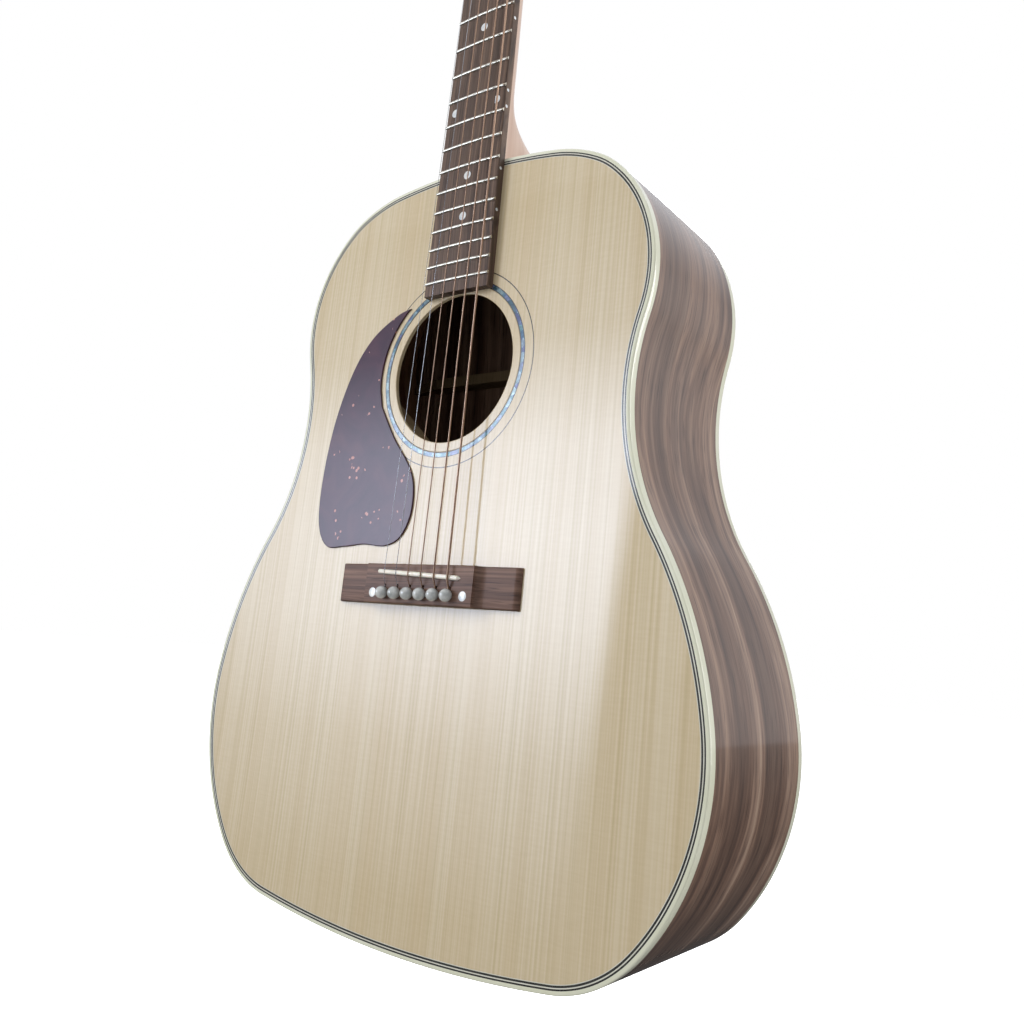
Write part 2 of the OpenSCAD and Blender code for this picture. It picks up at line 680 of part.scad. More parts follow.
// Two-way truss rod: flat bar over a round rod, joined by end blocks; the nut turns on its end
module truss_rod() color("dimgray") {
    translate([-3, front_y + 0.4, tail_z + rod_end_z + 0.5]) cube([6, 3, head_z - rod_end_z - 1.5]);
    translate([0, rod_axis, tail_z + rod_end_z + 0.5]) cylinder(r = 2.4, h = head_z - rod_end_z + 8);
    for (z = [rod_end_z + 0.5, head_z - 11])
        translate([-3, front_y + 0.4, tail_z + z]) cube([6, 9.5, 10]);
}
module truss_rod_nut() color("goldenrod") translate([0, rod_axis, tail_z + head_z + 1.6]) difference() {
    cylinder(r = 3.6, h = 15);
    translate([0, 0, -1]) cylinder(r = 2.46, h = 9);
    translate([0, 0, 10]) cylinder(r = 2, h = 6, $fn = 6);
}
cover_edge = [[9, 1.5], [10.6, 4], [10, 9], [7.6, 15], [5.2, 22], [4.4, 28], [3, 32.5], [0, 34]];
module cover_shape() polygon(concat(curve(cover_edge, 4),
    [for (p = backwards(curve(cover_edge, 4))) if (p.x > eps) [-p.x, p.y]]));
cover_screws_at = [[-7.2, 6], [7.2, 6], [0, 29]];
module cover_screw_holes() for (p = cover_screws_at)
    on_head() translate([p.x, 7, p.y]) rotate([90, 0, 0]) cylinder(r = 0.8, h = 12);
module truss_rod_cover() color("#221c1c") difference() {
    on_head() translate([0, -face_t, 0]) rotate([90, 0, 0]) linear_extrude(1.6) cover_shape();
    cover_screw_holes();
}
module cover_screws() color(nickel) for (p = cover_screws_at)
    on_head() translate([p.x, -face_t - 1.6, p.y]) rotate([90, 0, 0]) {
        cylinder(r1 = 1.8, r2 = 1.2, h = 0.8);
        translate([0, 0, -8]) cylinder(r = 0.8, h = 8);
    }

// ================= Strings =================
// The string meets its post on the inner side, then winds round it towards the headstock
coil_steps = 18;
coil_gap = 0.08;
function coil_r(i) = post_waist_r + coil_gap + string_r(i);
function coil_path(i) =
    let (n = to_head(at_nut(i)), c = [post_x(i), post_z(i)], v = c - [n.x, n.z], l = norm(v), s = side_of(i),
        r = coil_r(i), heading = atan2(v.y, v.x) + s * asin(r / l), pitch = 2 * string_r(i) + 0.04)
    [for (k = [0 : coil_turns * coil_steps])
        let (p = c + r * unit(heading + s * 90 - s * 360 * k / coil_steps))
        from_head([p.x, coil_y + pitch * k / coil_steps, p.y])];
function at_post(i) = coil_path(i)[0];
ball_r = 1.9;
ball_y = under_y + plate_t;
function string_path(i) = concat(
    [[pin_x(i), ball_y, tail_z + pin_z + string_drop],
        [pin_x(i), front_y - bridge_h - string_r(i) - 0.05, tail_z + pin_z + string_drop],
        at_saddle(i), at_nut(i)], coil_path(i));
// A thin tube along a path; its rings are laid out from the string post's axis
tube_sides = 8;
post_axis = [0, -cos(head_pitch), sin(head_pitch)];
function tube_ring(path, k, r) =
    let (m = len(path) - 1, t1 = path[min(k + 1, m)] - path[min(k, m - 1)],
        t0 = path[max(k, 1)] - path[max(k - 1, 0)], t = t0 / norm(t0) + t1 / norm(t1),
        u0 = cross(t, post_axis), u = u0 / norm(u0), w0 = cross(t, u), w = w0 / norm(w0))
    [for (j = [0 : tube_sides - 1]) path[k] + r * (cos(360 * j / tube_sides) * u + sin(360 * j / tube_sides) * w)];
module tube(path, r) {
    rings = [for (k = [0 : len(path) - 1]) tube_ring(path, k, r)];
    skin(rings);
}
// Closes a row of rings, all with the same number of points, into one solid
module skin(rings) {
    k = len(rings[0]);
    m = len(rings);
    polyhedron([for (r = rings) each r],
        concat([[for (j = [0 : k - 1]) j]],
            [for (i = [0 : m - 2], j = [0 : k - 1]) each [
                [i * k + j, (i + 1) * k + j, (i + 1) * k + (j + 1) % k],
                [i * k + j, (i + 1) * k + (j + 1) % k, i * k + (j + 1) % k]]],
            [[for (j = [k - 1 : -1 : 0]) (m - 1) * k + j]]));
}
module string(i) tube(string_path(i), string_r(i));
module wound_strings() color("#b08a50") for (i = wound) string(i);
module plain_strings() color("silver") for (i = plain) string(i);
module string_balls() color("goldenrod") for (i = strings)
    translate([pin_x(i) - 2, ball_y + ball_r + 0.02, tail_z + pin_z + string_drop + 0.3]) rotate([0, 90, 0])
        cylinder(r = ball_r, h = 4);

// ================= Tuners =================
// The string post with its worm wheel, turning in the bushing
module post(i) color(nickel) on_head() translate([post_x(i), 0, post_z(i)]) rotate([90, 0, 0]) {
    translate([0, 0, -wheel_y]) cylinder(r = post_r, h = wheel_y + face_t + 3);
    translate([0, 0, face_t + 3]) cylinder(r = post_waist_r, h = 8.5);
    translate([0, 0, face_t + 11.5]) cylinder(r = post_r, h = 2.5);
    translate([0, 0, -wheel_y - wheel_t]) cylinder(r = wheel_r, h = wheel_t);
}
// The key: oval button on a shaft that carries the worm
worm_len = 12;
key_x = 43;
button_t = 7;
button_r = 7;
button_half = 4;
module key(i) color(nickel) on_head() translate([0, worm_y, post_z(i) + worm_gap])
    rotate([0, side_of(i) * 90, 0]) {
        translate([0, 0, abs(post_x(i)) - worm_len / 2]) cylinder(r = worm_r, h = worm_len);
        translate([0, 0, abs(post_x(i)) - worm_len / 2 - 1.5])
            cylinder(r = key_shaft_r, h = key_x + 6 - abs(post_x(i)) + worm_len / 2 + 1.5);
        translate([0, 0, key_x - 3]) cylinder(r1 = key_shaft_r, r2 = 3.4, h = 4);
        translate([0, button_t / 2, key_x + 7]) rotate([90, 0, 0]) {
            for (x = [-button_half, button_half]) translate([x, 0, 0]) cylinder(r = button_r, h = button_t);
            translate([-button_half, -button_r, 0]) cube([2 * button_half, 2 * button_r, button_t]);
        }
    }
housing_half = 8.5;
housing_h = 9;
lug_t = 1.8;
lug_z = -10.5;
module at_lug(i) translate([post_x(i), head_t, post_z(i) + lug_z]) rotate([-90, 0, 0]) children();
module housing(i) on_head() difference() {
    union() {
        translate([post_x(i) - housing_half, head_t, post_z(i) - wheel_r - 1.6])
            cube([2 * housing_half, housing_h, wheel_r + 1.6 + worm_gap + worm_r + 1.8]);
        at_lug(i) cylinder(r = 3.6, h = lug_t);
    }
    translate([post_x(i), head_t - 1, post_z(i)]) rotate([-90, 0, 0])
        cylinder(r = wheel_r + 0.4, h = wheel_t + 3.4);
    translate([post_x(i), worm_y, post_z(i) + worm_gap]) rotate([0, side_of(i) * 90, 0]) {
        translate([0, 0, -worm_len / 2 - 0.3]) cylinder(r = worm_r + 0.4, h = worm_len + 0.6);
        translate([0, 0, -worm_len / 2 - 1.8]) cylinder(r = key_shaft_r + 0.05, h = 30);
    }
    at_lug(i) translate([0, 0, -1]) cylinder(r = 1.2, h = lug_t + 2);
}
module tuner_housings() color(nickel) for (i = strings) housing(i);
module screw_holes() for (i = strings) on_head() at_lug(i) translate([0, 0, -9]) cylinder(r = 1.2, h = 10);
module tuner_screws() color(nickel) for (i = strings) on_head() at_lug(i) {
    translate([0, 0, -9]) cylinder(r = 1.2, h = 9 + lug_t);
    translate([0, 0, lug_t]) cylinder(r1 = 2.4, r2 = 1.6, h = 1.2);
}
module tuner_bushings() color(nickel) for (i = strings) on_head()
    translate([post_x(i), head_t, post_z(i)]) rotate([90, 0, 0]) difference() {
        union() {
            cylinder(r = bushing_r, h = head_t + face_t);
            translate([0, 0, head_t + face_t]) cylinder(r = 6.8, h = 1.6);
        }
        translate([0, 0, -1]) cylinder(r = post_r + 0.05, h = head_t + face_t + 4);
    }

// ================= Whole guitar =================
soundboard();
back_plate();
side_bass();
side_treble();
neck_block();
tail_block();
front_linings();
back_linings();
x_brace_bass();
x_brace_treble();
upper_brace();
tone_bars();
finger_braces();
soundhole_braces();
bridge_plate();
back_braces();
back_strip();
side_strips();
front_binding();
front_purfling();
back_binding();
tail_wedge();
rosette();
pickguard();
bridge();
saddle();
bridge_dots();
bridge_pins();
end_pin();
neck();
fretboard();
frets();
fret_dots();
side_dots();
nut();
heel_cap();
headstock_face();
truss_rod();
truss_rod_nut();
truss_rod_cover();
cover_screws();
wound_strings();
plain_strings();
string_balls();
tuner_housings();
tuner_bushings();
tuner_screws();
key(0);  // tuner_key_1
key(1);  // tuner_key_2
key(2);  // tuner_key_3
key(3);  // tuner_key_4
key(4);  // tuner_key_5
key(5);  // tuner_key_6
post(0);  // string_post_1
post(1);  // string_post_2
post(2);  // string_post_3
post(3);  // string_post_4
post(4);  // string_post_5
post(5);  // string_post_6
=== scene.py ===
# Left-handed dreadnought acoustic guitar: spruce top, walnut back and sides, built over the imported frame.
import math

import bmesh
import bpy
from mathutils import Matrix, Vector


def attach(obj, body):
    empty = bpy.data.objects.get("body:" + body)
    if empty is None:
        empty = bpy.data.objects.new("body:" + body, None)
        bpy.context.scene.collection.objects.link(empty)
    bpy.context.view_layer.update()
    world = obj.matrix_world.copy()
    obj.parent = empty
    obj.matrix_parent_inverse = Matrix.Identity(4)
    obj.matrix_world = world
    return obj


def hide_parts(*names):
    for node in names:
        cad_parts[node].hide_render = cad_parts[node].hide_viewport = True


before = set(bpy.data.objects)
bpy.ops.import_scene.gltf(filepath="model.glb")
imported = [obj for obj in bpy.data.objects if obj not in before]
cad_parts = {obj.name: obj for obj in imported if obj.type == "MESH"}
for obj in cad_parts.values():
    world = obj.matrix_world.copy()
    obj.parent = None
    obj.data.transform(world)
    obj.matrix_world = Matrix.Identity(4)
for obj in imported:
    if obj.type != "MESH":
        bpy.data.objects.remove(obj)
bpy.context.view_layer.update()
scene = bpy.context.scene
mm = 0.001
guitarBody = "guitar"


# sRGB hex to the linear colour that the nodes take
def linear(hexColour, alpha=1.0):
    channels = [int(hexColour[i:i + 2], 16) / 255 for i in (1, 3, 5)]
    return [c / 12.92 if c <= 0.04045 else ((c + 0.055) / 1.055) ** 2.4 for c in channels] + [alpha]


def sine(angle):
    return math.sin(math.radians(angle))


def cosine(angle):
    return math.cos(math.radians(angle))


# A move in millimetres, and a turn in degrees
def moved(x, y, z):
    return Matrix.Translation((x * mm, y * mm, z * mm))


def turned(angle, axis):
    return Matrix.Rotation(math.radians(angle), 4, axis)


def addObject(name, data):
    made = bpy.data.objects.new(name, data)
    scene.collection.objects.link(made)
    return made


# The plain mesh of an object after its modifiers
def plainMesh(holder):
    return bpy.data.meshes.new_from_object(holder.evaluated_get(bpy.context.evaluated_depsgraph_get()))


# Adds a node. A socket is named, or numbered as in0, and takes a value, a socket or another node's first output
def addNode(tree, kind, settings=None, **sockets):
    node = tree.nodes.new(kind)
    for name, value in (settings or {}).items():
        setattr(node, name, value)
    for name, value in sockets.items():
        numbered = name.startswith("in") and name[2:].isdigit()
        socket = node.inputs[int(name[2:]) if numbered else name.replace("_", " ")]
        if isinstance(value, bpy.types.Node):
            value = value.outputs[0]
        if isinstance(value, bpy.types.NodeSocket):
            tree.links.new(value, socket)
        else:
            socket.default_value = value
    return node


# A material with its shader; constant values go straight onto the shader's own sockets
def startMaterial(name, **constants):
    material = bpy.data.materials.new(name)
    material.use_nodes = True
    tree = material.node_tree
    shader = tree.nodes["Principled BSDF"]
    for socketName, value in constants.items():
        shader.inputs[socketName.replace("_", " ")].default_value = value
    return material, tree, shader


def objectPlace(tree):
    return addNode(tree, "ShaderNodeTexCoord").outputs["Object"]


# Coordinates squeezed and turned: scale is how many pattern units fit in a metre along each axis
def placePattern(tree, scale, turn=(0, 0, 0), source=None):
    return addNode(tree, "ShaderNodeMapping", Vector=source or objectPlace(tree), Scale=scale, Rotation=turn)


def addNoise(tree, **sockets):
    return addNode(tree, "ShaderNodeTexNoise", **{"Scale": 1.0, **sockets})


def addRamp(tree, factor, stops):
    ramp = addNode(tree, "ShaderNodeValToRGB", Fac=factor)
    elements = ramp.color_ramp.elements
    while len(elements) < len(stops):
        elements.new(0.5)
    for element, (place, colour) in zip(elements, stops):
        element.position = place
        element.color = linear(colour) if isinstance(colour, str) else [colour] * 3 + [1]
    return ramp


def mixColours(tree, factor, first, second, blend="MIX"):
    mix = addNode(tree, "ShaderNodeMix", {"data_type": "RGBA", "blend_type": blend}, in0=factor)
    for index, value in ((6, first), (7, second)):
        if isinstance(value, str):
            mix.inputs[index].default_value = linear(value)
        else:
            tree.links.new(value.outputs[0] if isinstance(value, bpy.types.Node) else value, mix.inputs[index])
    return mix.outputs[2]


def calculate(tree, operation, first, second=0.0, third=0.0):
    settings = {"operation": operation}
    return addNode(tree, "ShaderNodeMath", settings, in0=first, in1=second, in2=third).outputs[0]


# Links a colour, or another value, to the shader
def paint(tree, shader, source, socketName="Base Color"):
    output = source.outputs[0] if isinstance(source, bpy.types.Node) else source
    tree.links.new(output, shader.inputs[socketName])


def addBump(tree, shader, height, depth, strength=1.0):
    bump = addNode(tree, "ShaderNodeBump", Height=height, Distance=depth, Strength=strength)
    paint(tree, shader, bump, "Normal")


# Finishes
spruceTop = {"pale": "#D4C5A7", "mid": "#CCBB99", "line": "#C0AF89", "lineSpacing": 1.2, "silk": 0.16}
walnutSides = {"dark": "#5E473B", "mid": "#8C705E", "light": "#AE947F", "streak": 6.0}
darkWood = {"broad": 0.35, "dark": "#38291F", "mid": "#5F4A3B", "light": "#7E6552", "streak": 1.6}


# Lacquered spruce: straight growth lines 1 to 2 mm apart, and a clear gloss coat over them.
# It is bookmatched, so the lines mirror at the centre seam. It gives a cream top with fine upright lines.
def makeSpruce(name, look, gloss):
    material, tree, shader = startMaterial(name, Roughness=0.45 if gloss else 0.7, Coat_Weight=gloss,
                                           Coat_Roughness=0.04, Coat_IOR=1.5)
    place = addNode(tree, "ShaderNodeSeparateXYZ", Vector=objectPlace(tree))
    halfX = calculate(tree, "ABSOLUTE", place.outputs["X"])
    mirrored = addNode(tree, "ShaderNodeCombineXYZ", X=halfX, Y=place.outputs["Y"], Z=place.outputs["Z"])
    wander = addNoise(tree, Detail=2.0,
                     Vector=placePattern(tree, (5, 5, 2.2), source=mirrored.outputs[0]))
    drifted = addNode(tree, "ShaderNodeVectorMath", {"operation": "MULTIPLY_ADD"}, in0=wander.outputs["Color"],
                      in1=(0.004, 0, 0), in2=mirrored.outputs[0])
    unitsPerMetre = 1000 / look["lineSpacing"]
    lines = addNoise(tree, Detail=1.5,
                    Vector=placePattern(tree, (unitsPerMetre * 0.8, 3, 2.5), source=drifted.outputs[0]))
    bands = addNoise(tree, Detail=2.0,
                    Vector=placePattern(tree, (60, 3, 0.9), source=drifted.outputs[0]))
    silk = addNoise(tree, Detail=3.0,
                   Vector=placePattern(tree, (90, 35, 620), source=mirrored.outputs[0]))
    lineColour = addRamp(tree, lines, [(0.3, look["pale"]), (0.55, look["mid"]), (0.78, look["line"])])
    bandColour = addRamp(tree, bands.outputs["Fac"], [(0.3, "#FFFFFF"), (0.7, "#F6F0E5")])
    toned = mixColours(tree, 0.75, lineColour, bandColour, "MULTIPLY")
    silkShade = addRamp(tree, silk.outputs["Fac"], [(0.35, "#E9E2D6"), (0.65, "#FFFFFF")])
    paint(tree, shader, mixColours(tree, look["silk"], toned, silkShade, "MULTIPLY"))
    addBump(tree, shader, lines.outputs["Fac"], 0.00002, 0.25)
    return material


# Figured dark hardwood: long streaks along one axis, fine pores in them. Lacquered or open grain by its coat.
# It gives brown panels with near-black veins.
def makeHardwood(name, look, along, gloss, source="Object", poreScale=900.0, roughness=0.45):
    material, tree, shader = startMaterial(name, Roughness=roughness, Coat_Weight=gloss, Coat_Roughness=0.05,
                                           Coat_IOR=1.5)
    base = addNode(tree, "ShaderNodeTexCoord").outputs[source]
    wander = addNoise(tree, Scale=7.0, Detail=2.0, Vector=base)
    drifted = addNode(tree, "ShaderNodeVectorMath", {"operation": "MULTIPLY_ADD"}, in0=wander.outputs["Color"],
                      in1=(0.02, 0.02, 0.02), in2=base)
    across = 1000 / look["streak"]
    isMapped = source == "UV"
    depthShare = 1.0 if isMapped else 0.15  # slower change with depth keeps the streaks long on a leaning face
    slant = (0, 0, 0.09) if isMapped else (0, 0.05, 0)

    def grain(alongScale, acrossScale):
        return tuple(alongScale if axis == along else acrossScale * (depthShare if axis == "Y" else 1.0)
                     for axis in "XYZ")

    streaks = addNoise(tree, Detail=5.0, Roughness=0.62, Distortion=0.35,
                       Vector=placePattern(tree, grain(3.0, across), slant, drifted.outputs[0]))
    broad = addNoise(tree, Detail=2.0,
                     Vector=placePattern(tree, grain(1.6, across / 4), slant, drifted.outputs[0]))
    pores = addNoise(tree, Detail=1.0, Vector=placePattern(tree, grain(45.0, poreScale), source=base))
    colour = addRamp(tree, streaks, [(0.3, look["dark"]), (0.5, look["mid"]), (0.7, look["light"])])
    poreShade = addRamp(tree, pores.outputs["Fac"], [(0.3, "#6F5B50"), (0.42, "#FFFFFF")])
    shade = addRamp(tree, broad.outputs["Fac"], [(0.38, "#FFFFFF"), (0.54, "#DDD0C8"), (0.66, "#96857E")])
    figured = mixColours(tree, look.get("broad", 0.8), colour, shade, "MULTIPLY")
    paint(tree, shader, mixColours(tree, 0.6, figured, poreShade, "MULTIPLY"))
    addBump(tree, shader, pores.outputs["Fac"], 0.00006, 0.1 if gloss else 0.5)
    return material


# A plain close-grained wood, bare or sealed: maple, mahogany
def makePlainWood(name, pale, dark, along, roughness, gloss=0.0):
    material, tree, shader = startMaterial(name, Roughness=roughness, Coat_Weight=gloss, Coat_Roughness=0.15)
    grain = addNoise(tree, Detail=3.0,
                    Vector=placePattern(tree, tuple(6.0 if axis == along else 210.0 for axis in "XYZ")))
    paint(tree, shader, addRamp(tree, grain.outputs["Fac"], [(0.3, pale), (0.7, dark)]))
    addBump(tree, shader, grain.outputs["Fac"], 0.00003, 0.2)
    return material


# Moulded or sheet plastic, bone and the like: almost even colour with a faint cloud in it
def makeCloudy(name, first, second, roughness, gloss=0.0, cloud=60.0, subsurface=0.0):
    material, tree, shader = startMaterial(name, Roughness=roughness, Coat_Weight=gloss, Coat_Roughness=0.03,
                                           Subsurface_Weight=subsurface, Subsurface_Scale=0.002)
    clouds = addNoise(tree, Scale=cloud, Detail=4.0)
    tree.links.new(objectPlace(tree), clouds.inputs["Vector"])
    paint(tree, shader, addRamp(tree, clouds.outputs["Fac"], [(0.35, first), (0.65, second)]))
    fine = addNoise(tree, Scale=900.0, Detail=2.0)
    addBump(tree, shader, fine.outputs["Fac"], 0.00001, 0.15)
    return material


# Polished tortoiseshell-pattern sheet: dark red-brown with sparse orange flecks in chains
def makeTortoise():
    material, tree, shader = startMaterial("tortoiseCellulose", Roughness=0.35, Specular_IOR_Level=0.2,
                                           Coat_Weight=0.55, Coat_Roughness=0.02)
    place = objectPlace(tree)
    clouds = addNoise(tree, Scale=34.0, Detail=3.0, Distortion=1.5,
                     Vector=place)
    ground = addRamp(tree, clouds.outputs["Fac"], [(0.3, "#362030"), (0.55, "#422636"), (0.78, "#502F3A")])
    cells = addNode(tree, "ShaderNodeTexVoronoi", {"voronoi_dimensions": "3D"}, Scale=230.0, Randomness=1.0,
                    Vector=place)
    flecks = calculate(tree, "LESS_THAN", cells.outputs["Distance"], 0.26)
    chains = addNoise(tree, Scale=60.0, Detail=3.0,
                     Vector=place)
    sparse = calculate(tree, "GREATER_THAN", chains.outputs["Fac"], 0.585)
    fleck = calculate(tree, "MULTIPLY", flecks, sparse)
    paint(tree, shader, mixColours(tree, fleck, ground, "#B9837A"))
    return material


# Abalone shell under lacquer: short shards from blue-green to violet, with a painted highlight of bright glints
# over them
def makeShell():
    material, tree, shader = startMaterial("abaloneInlay", Roughness=0.25, Coat_Weight=1.0, Coat_Roughness=0.04,
                                           Metallic=0.25)
    place = objectPlace(tree)
    shards = addNode(tree, "ShaderNodeTexVoronoi", {"voronoi_dimensions": "3D"}, Scale=230.0, Vector=place)
    hue = addRamp(tree, shards.outputs["Color"], [(0.15, "#3F6680"), (0.35, "#6E9C9C"), (0.5, "#575B8E"),
                                                   (0.68, "#A9C4C4"), (0.85, "#3C5F6C")])
    # Painted highlight: a mottle of bright glints multiplied into the shell's colour
    paintedGlints = addNoise(tree, Scale=520.0, Detail=2.0,
                     Vector=place)
    bright = addRamp(tree, paintedGlints.outputs["Fac"], [(0.45, "#808890"), (0.7, "#FFFFFF")])
    paint(tree, shader, mixColours(tree, 0.6, hue, bright, "MULTIPLY"))
    return material


# Metals: cast and plated, drawn wire, nickel silver. Fine marks only change how sharp the shine is
def makeMetal(name, colour, roughness, marks, squeeze=(1, 1, 1), depth=0.00002):
    material, tree, shader = startMaterial(name, Metallic=1.0)
    pattern = addNoise(tree, Detail=3.0,
                      Vector=placePattern(tree, tuple(marks * s for s in squeeze)))
    shine = addRamp(tree, pattern.outputs["Fac"], [(0.3, max(0.02, roughness - 0.06)), (0.7, roughness + 0.08)])
    paint(tree, shader, shine, "Roughness")
    tint = addRamp(tree, pattern.outputs["Fac"], [(0.2, colour[0]), (0.8, colour[1])])
    paint(tree, shader, tint)
    addBump(tree, shader, pattern.outputs["Fac"], depth, 0.3)
    return material


finishes = {
    "top": makeSpruce("lacqueredSpruceTop", spruceTop, 1.0),
    # The braces take spruce colours far darker than the top's: painted shade for the dim inside of the body, not
    # the wood's own tone
    "brace": makeSpruce("bareSpruceBrace", dict(spruceTop, pale="#8F7B5E", mid="#857153", line="#756244"), 0.0),
    "sides": makeHardwood("lacqueredWalnutSide", walnutSides, "X", 1.0, source="UV"),
    "back": makeHardwood("lacqueredWalnutBack", walnutSides, "Z", 1.0),
    "board": makeHardwood("oiledFingerboardWood", darkWood, "Z", 0.0, roughness=0.5),
    "bridge": makeHardwood("oiledBridgeWood", dict(darkWood, dark="#4A3328", mid="#6E5243", light="#8A6C5A"),
                           "X", 0.0, roughness=0.5),
    "neck": makePlainWood("satinNeckWood", "#D9BFAC", "#C9A994", "Z", 0.38, 0.4),
    "mahogany": makePlainWood("bareMahogany", "#A87C5C", "#8C6144", "Z", 0.75),
    "maple": makePlainWood("bareMaple", "#DCC39A", "#CDB083", "X", 0.7),
    "binding": makeCloudy("ivoryCellulose", "#E0E0CB", "#D9D9C0", 0.3, 1.0, 25.0),
    "darkLine": makeCloudy("blackFibreLine", "#26241F", "#35322B", 0.4, 1.0, 80.0),
    "paleLine": makeCloudy("whiteFibreLine", "#DAD8CA", "#CFCDBC", 0.4, 1.0, 80.0),
    "shell": makeShell(),
    "tortoise": makeTortoise(),
    "bone": makeCloudy("polishedBone", "#F3EEE2", "#E6DFCE", 0.3, 0.3, 220.0, 0.1),
    "pearl": makeCloudy("motherOfPearl", "#F4F3EE", "#CFD6DC", 0.2, 1.0, 260.0),
    "pin": makeCloudy("pearlGreyPlastic", "#D0D1CE", "#A4A8A6", 0.25, 1.0, 240.0),
    "black": makeCloudy("blackPlastic", "#141314", "#1E1C1D", 0.25, 1.0, 60.0),
    "fretMetal": makeMetal("nickelSilverFret", ("#CDC7B6", "#E2DDCE"), 0.34, 500.0, (0.1, 1, 1)),
    "bronze": makeMetal("bronzeWrapWire", ("#BE9A80", "#DDBDA3"), 0.42, 900.0, (1, 1, 2.2), 0.0001),
    "steelWire": makeMetal("plainSteelWire", ("#B9BBBE", "#D6D8DA"), 0.18, 700.0, (1, 1, 0.05)),
    "nickel": makeMetal("platedZincCasting", ("#BFC0C2", "#D5D6D8"), 0.14, 160.0),
    "brass": makeMetal("turnedBrass", ("#B08D4C", "#C9A765"), 0.28, 400.0),
    "rodSteel": makeMetal("plainSteelBar", ("#77797C", "#8D8F92"), 0.4, 300.0, (1, 1, 0.1)),
}
print("finishes:", len(finishes))


# Making meshes; lengths are given in millimetres
# Puts a mesh in the scene as a finished piece: it rides on a body and stands for its CAD nodes
def addPiece(name, mesh, finish, nodes=(), body=guitarBody, sharp=32, place=None):
    if place:
        mesh.transform(place)
    mesh.name = name
    piece = addObject(name, mesh)
    for one in [finish] if isinstance(finish, str) else finish:
        mesh.materials.append(finishes[one])
    mesh.shade_smooth()
    mesh.set_sharp_from_angle(angle=math.radians(sharp))
    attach(piece, body)
    if nodes:
        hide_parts(*nodes)
    return piece


def meshFrom(points, faces, outward=True):
    mesh = bpy.data.meshes.new("shape")
    mesh.from_pydata([[c * mm for c in p] for p in points], [], faces)
    if outward:
        shape = bmesh.new()
        shape.from_mesh(mesh)
        bmesh.ops.remove_doubles(shape, verts=shape.verts, dist=1e-6)
        bmesh.ops.recalc_face_normals(shape, faces=shape.faces)
        shape.to_mesh(mesh)
        shape.free()
    return mesh


# Skins a row of equal rings. Each ring is closed; the row is capped at its ends, or joined round
def skinRings(rings, joined=False):
    count, size = len(rings), len(rings[0])
    faces = []
    for i in range(count if joined else count - 1):
        low, high = i * size, (i + 1) % count * size
        faces += [[low + j, low + (j + 1) % size, high + (j + 1) % size, high + j] for j in range(size)]
    if not joined:
        faces += [list(range(size))[::-1], [(count - 1) * size + j for j in range(size)]]
    return meshFrom([p for ring in rings for p in ring], faces)


# Turns a profile of radius and height round the Z axis
def turnProfile(profile, segments=48):
    return skinRings([[(x, y, h) for x, y in circleOutline(0, 0, r, segments)] for r, h in profile])


# A flat plate from closed outlines in X and Z, holes among them, between two depths, with a small round edge
def cutPlate(outlines, front, back, edge=0.0, edgeSteps=2):
    curve = bpy.data.curves.new("outline", "CURVE")
    curve.dimensions, curve.fill_mode = "2D", "BOTH"
    for outline in outlines:
        spline = curve.splines.new("POLY")
        spline.points.add(len(outline) - 1)
        for point, (x, z) in zip(spline.points, outline):
            point.co = (x * mm, z * mm, 0, 1)
        spline.use_cyclic_u = True
    curve.extrude = ((back - front) / 2 - edge) * mm
    curve.bevel_depth, curve.bevel_resolution, curve.offset = edge * mm, edgeSteps, -edge * mm
    holder = addObject("outline", curve)
    mesh = plainMesh(holder)
    bpy.data.objects.remove(holder)
    mesh.transform(moved(0, (front + back) / 2, 0) @ turned(90, "X"))
    mesh.materials.clear()
    return mesh


def circleOutline(x, z, r, count=96):
    angles = [2 * math.pi * k / count for k in range(count)]
    return [(x + r * math.cos(a), z + r * math.sin(a)) for a in angles]


def joinMeshes(parts):
    shape = bmesh.new()
    for part in parts:
        shape.from_mesh(part)
    mesh = bpy.data.meshes.new("joined")
    shape.to_mesh(mesh)
    shape.free()
    return mesh


# Cuts tool meshes out of a mesh
def carve(mesh, tools):
    target, cutter = addObject("carved", mesh), addObject("cutter", joinMeshes(tools))
    cut = target.modifiers.new("cut", "BOOLEAN")
    cut.object, cut.operation, cut.solver, cut.use_self = cutter, "DIFFERENCE", "EXACT", True
    result = plainMesh(target)
    for made in (target, cutter):
        bpy.data.objects.remove(made)
    result.materials.clear()
    return result


def boxMesh(low, high):
    corners = [(x, y, z) for x in (low[0], high[0]) for y in (low[1], high[1]) for z in (low[2], high[2])]
    return meshFrom(corners, [[0, 1, 3, 2], [4, 6, 7, 5], [0, 4, 5, 1],
                              [2, 3, 7, 6], [0, 2, 6, 4], [1, 5, 7, 3]])


# Rounds the sharp edges of a mesh
def roundEdges(mesh, width, steps=3, angle=40):
    shape = bmesh.new()
    shape.from_mesh(mesh)
    edges = [e for e in shape.edges if len(e.link_faces) == 2 and e.calc_face_angle(0) > math.radians(angle)]
    bmesh.ops.bevel(shape, geom=edges, offset=width * mm, segments=steps, profile=0.5, affect="EDGES",
                    clamp_overlap=True)
    shape.to_mesh(mesh)
    shape.free()
    return mesh


# Runs a node tree on a mesh and hands back the plain mesh. Inputs are set by identifier, before it is evaluated
def runTree(tree, mesh, inputs):
    holder = addObject("treeHolder", mesh)
    modifier = holder.modifiers.new("shape", "NODES")
    modifier.node_group = tree
    for item in tree.interface.items_tree:
        if item.item_type == "SOCKET" and item.in_out == "INPUT" and item.name in inputs:
            modifier[item.identifier] = inputs[item.name]
    result = plainMesh(holder)
    holder.modifiers.remove(modifier)
    bpy.data.objects.remove(holder)
    return result


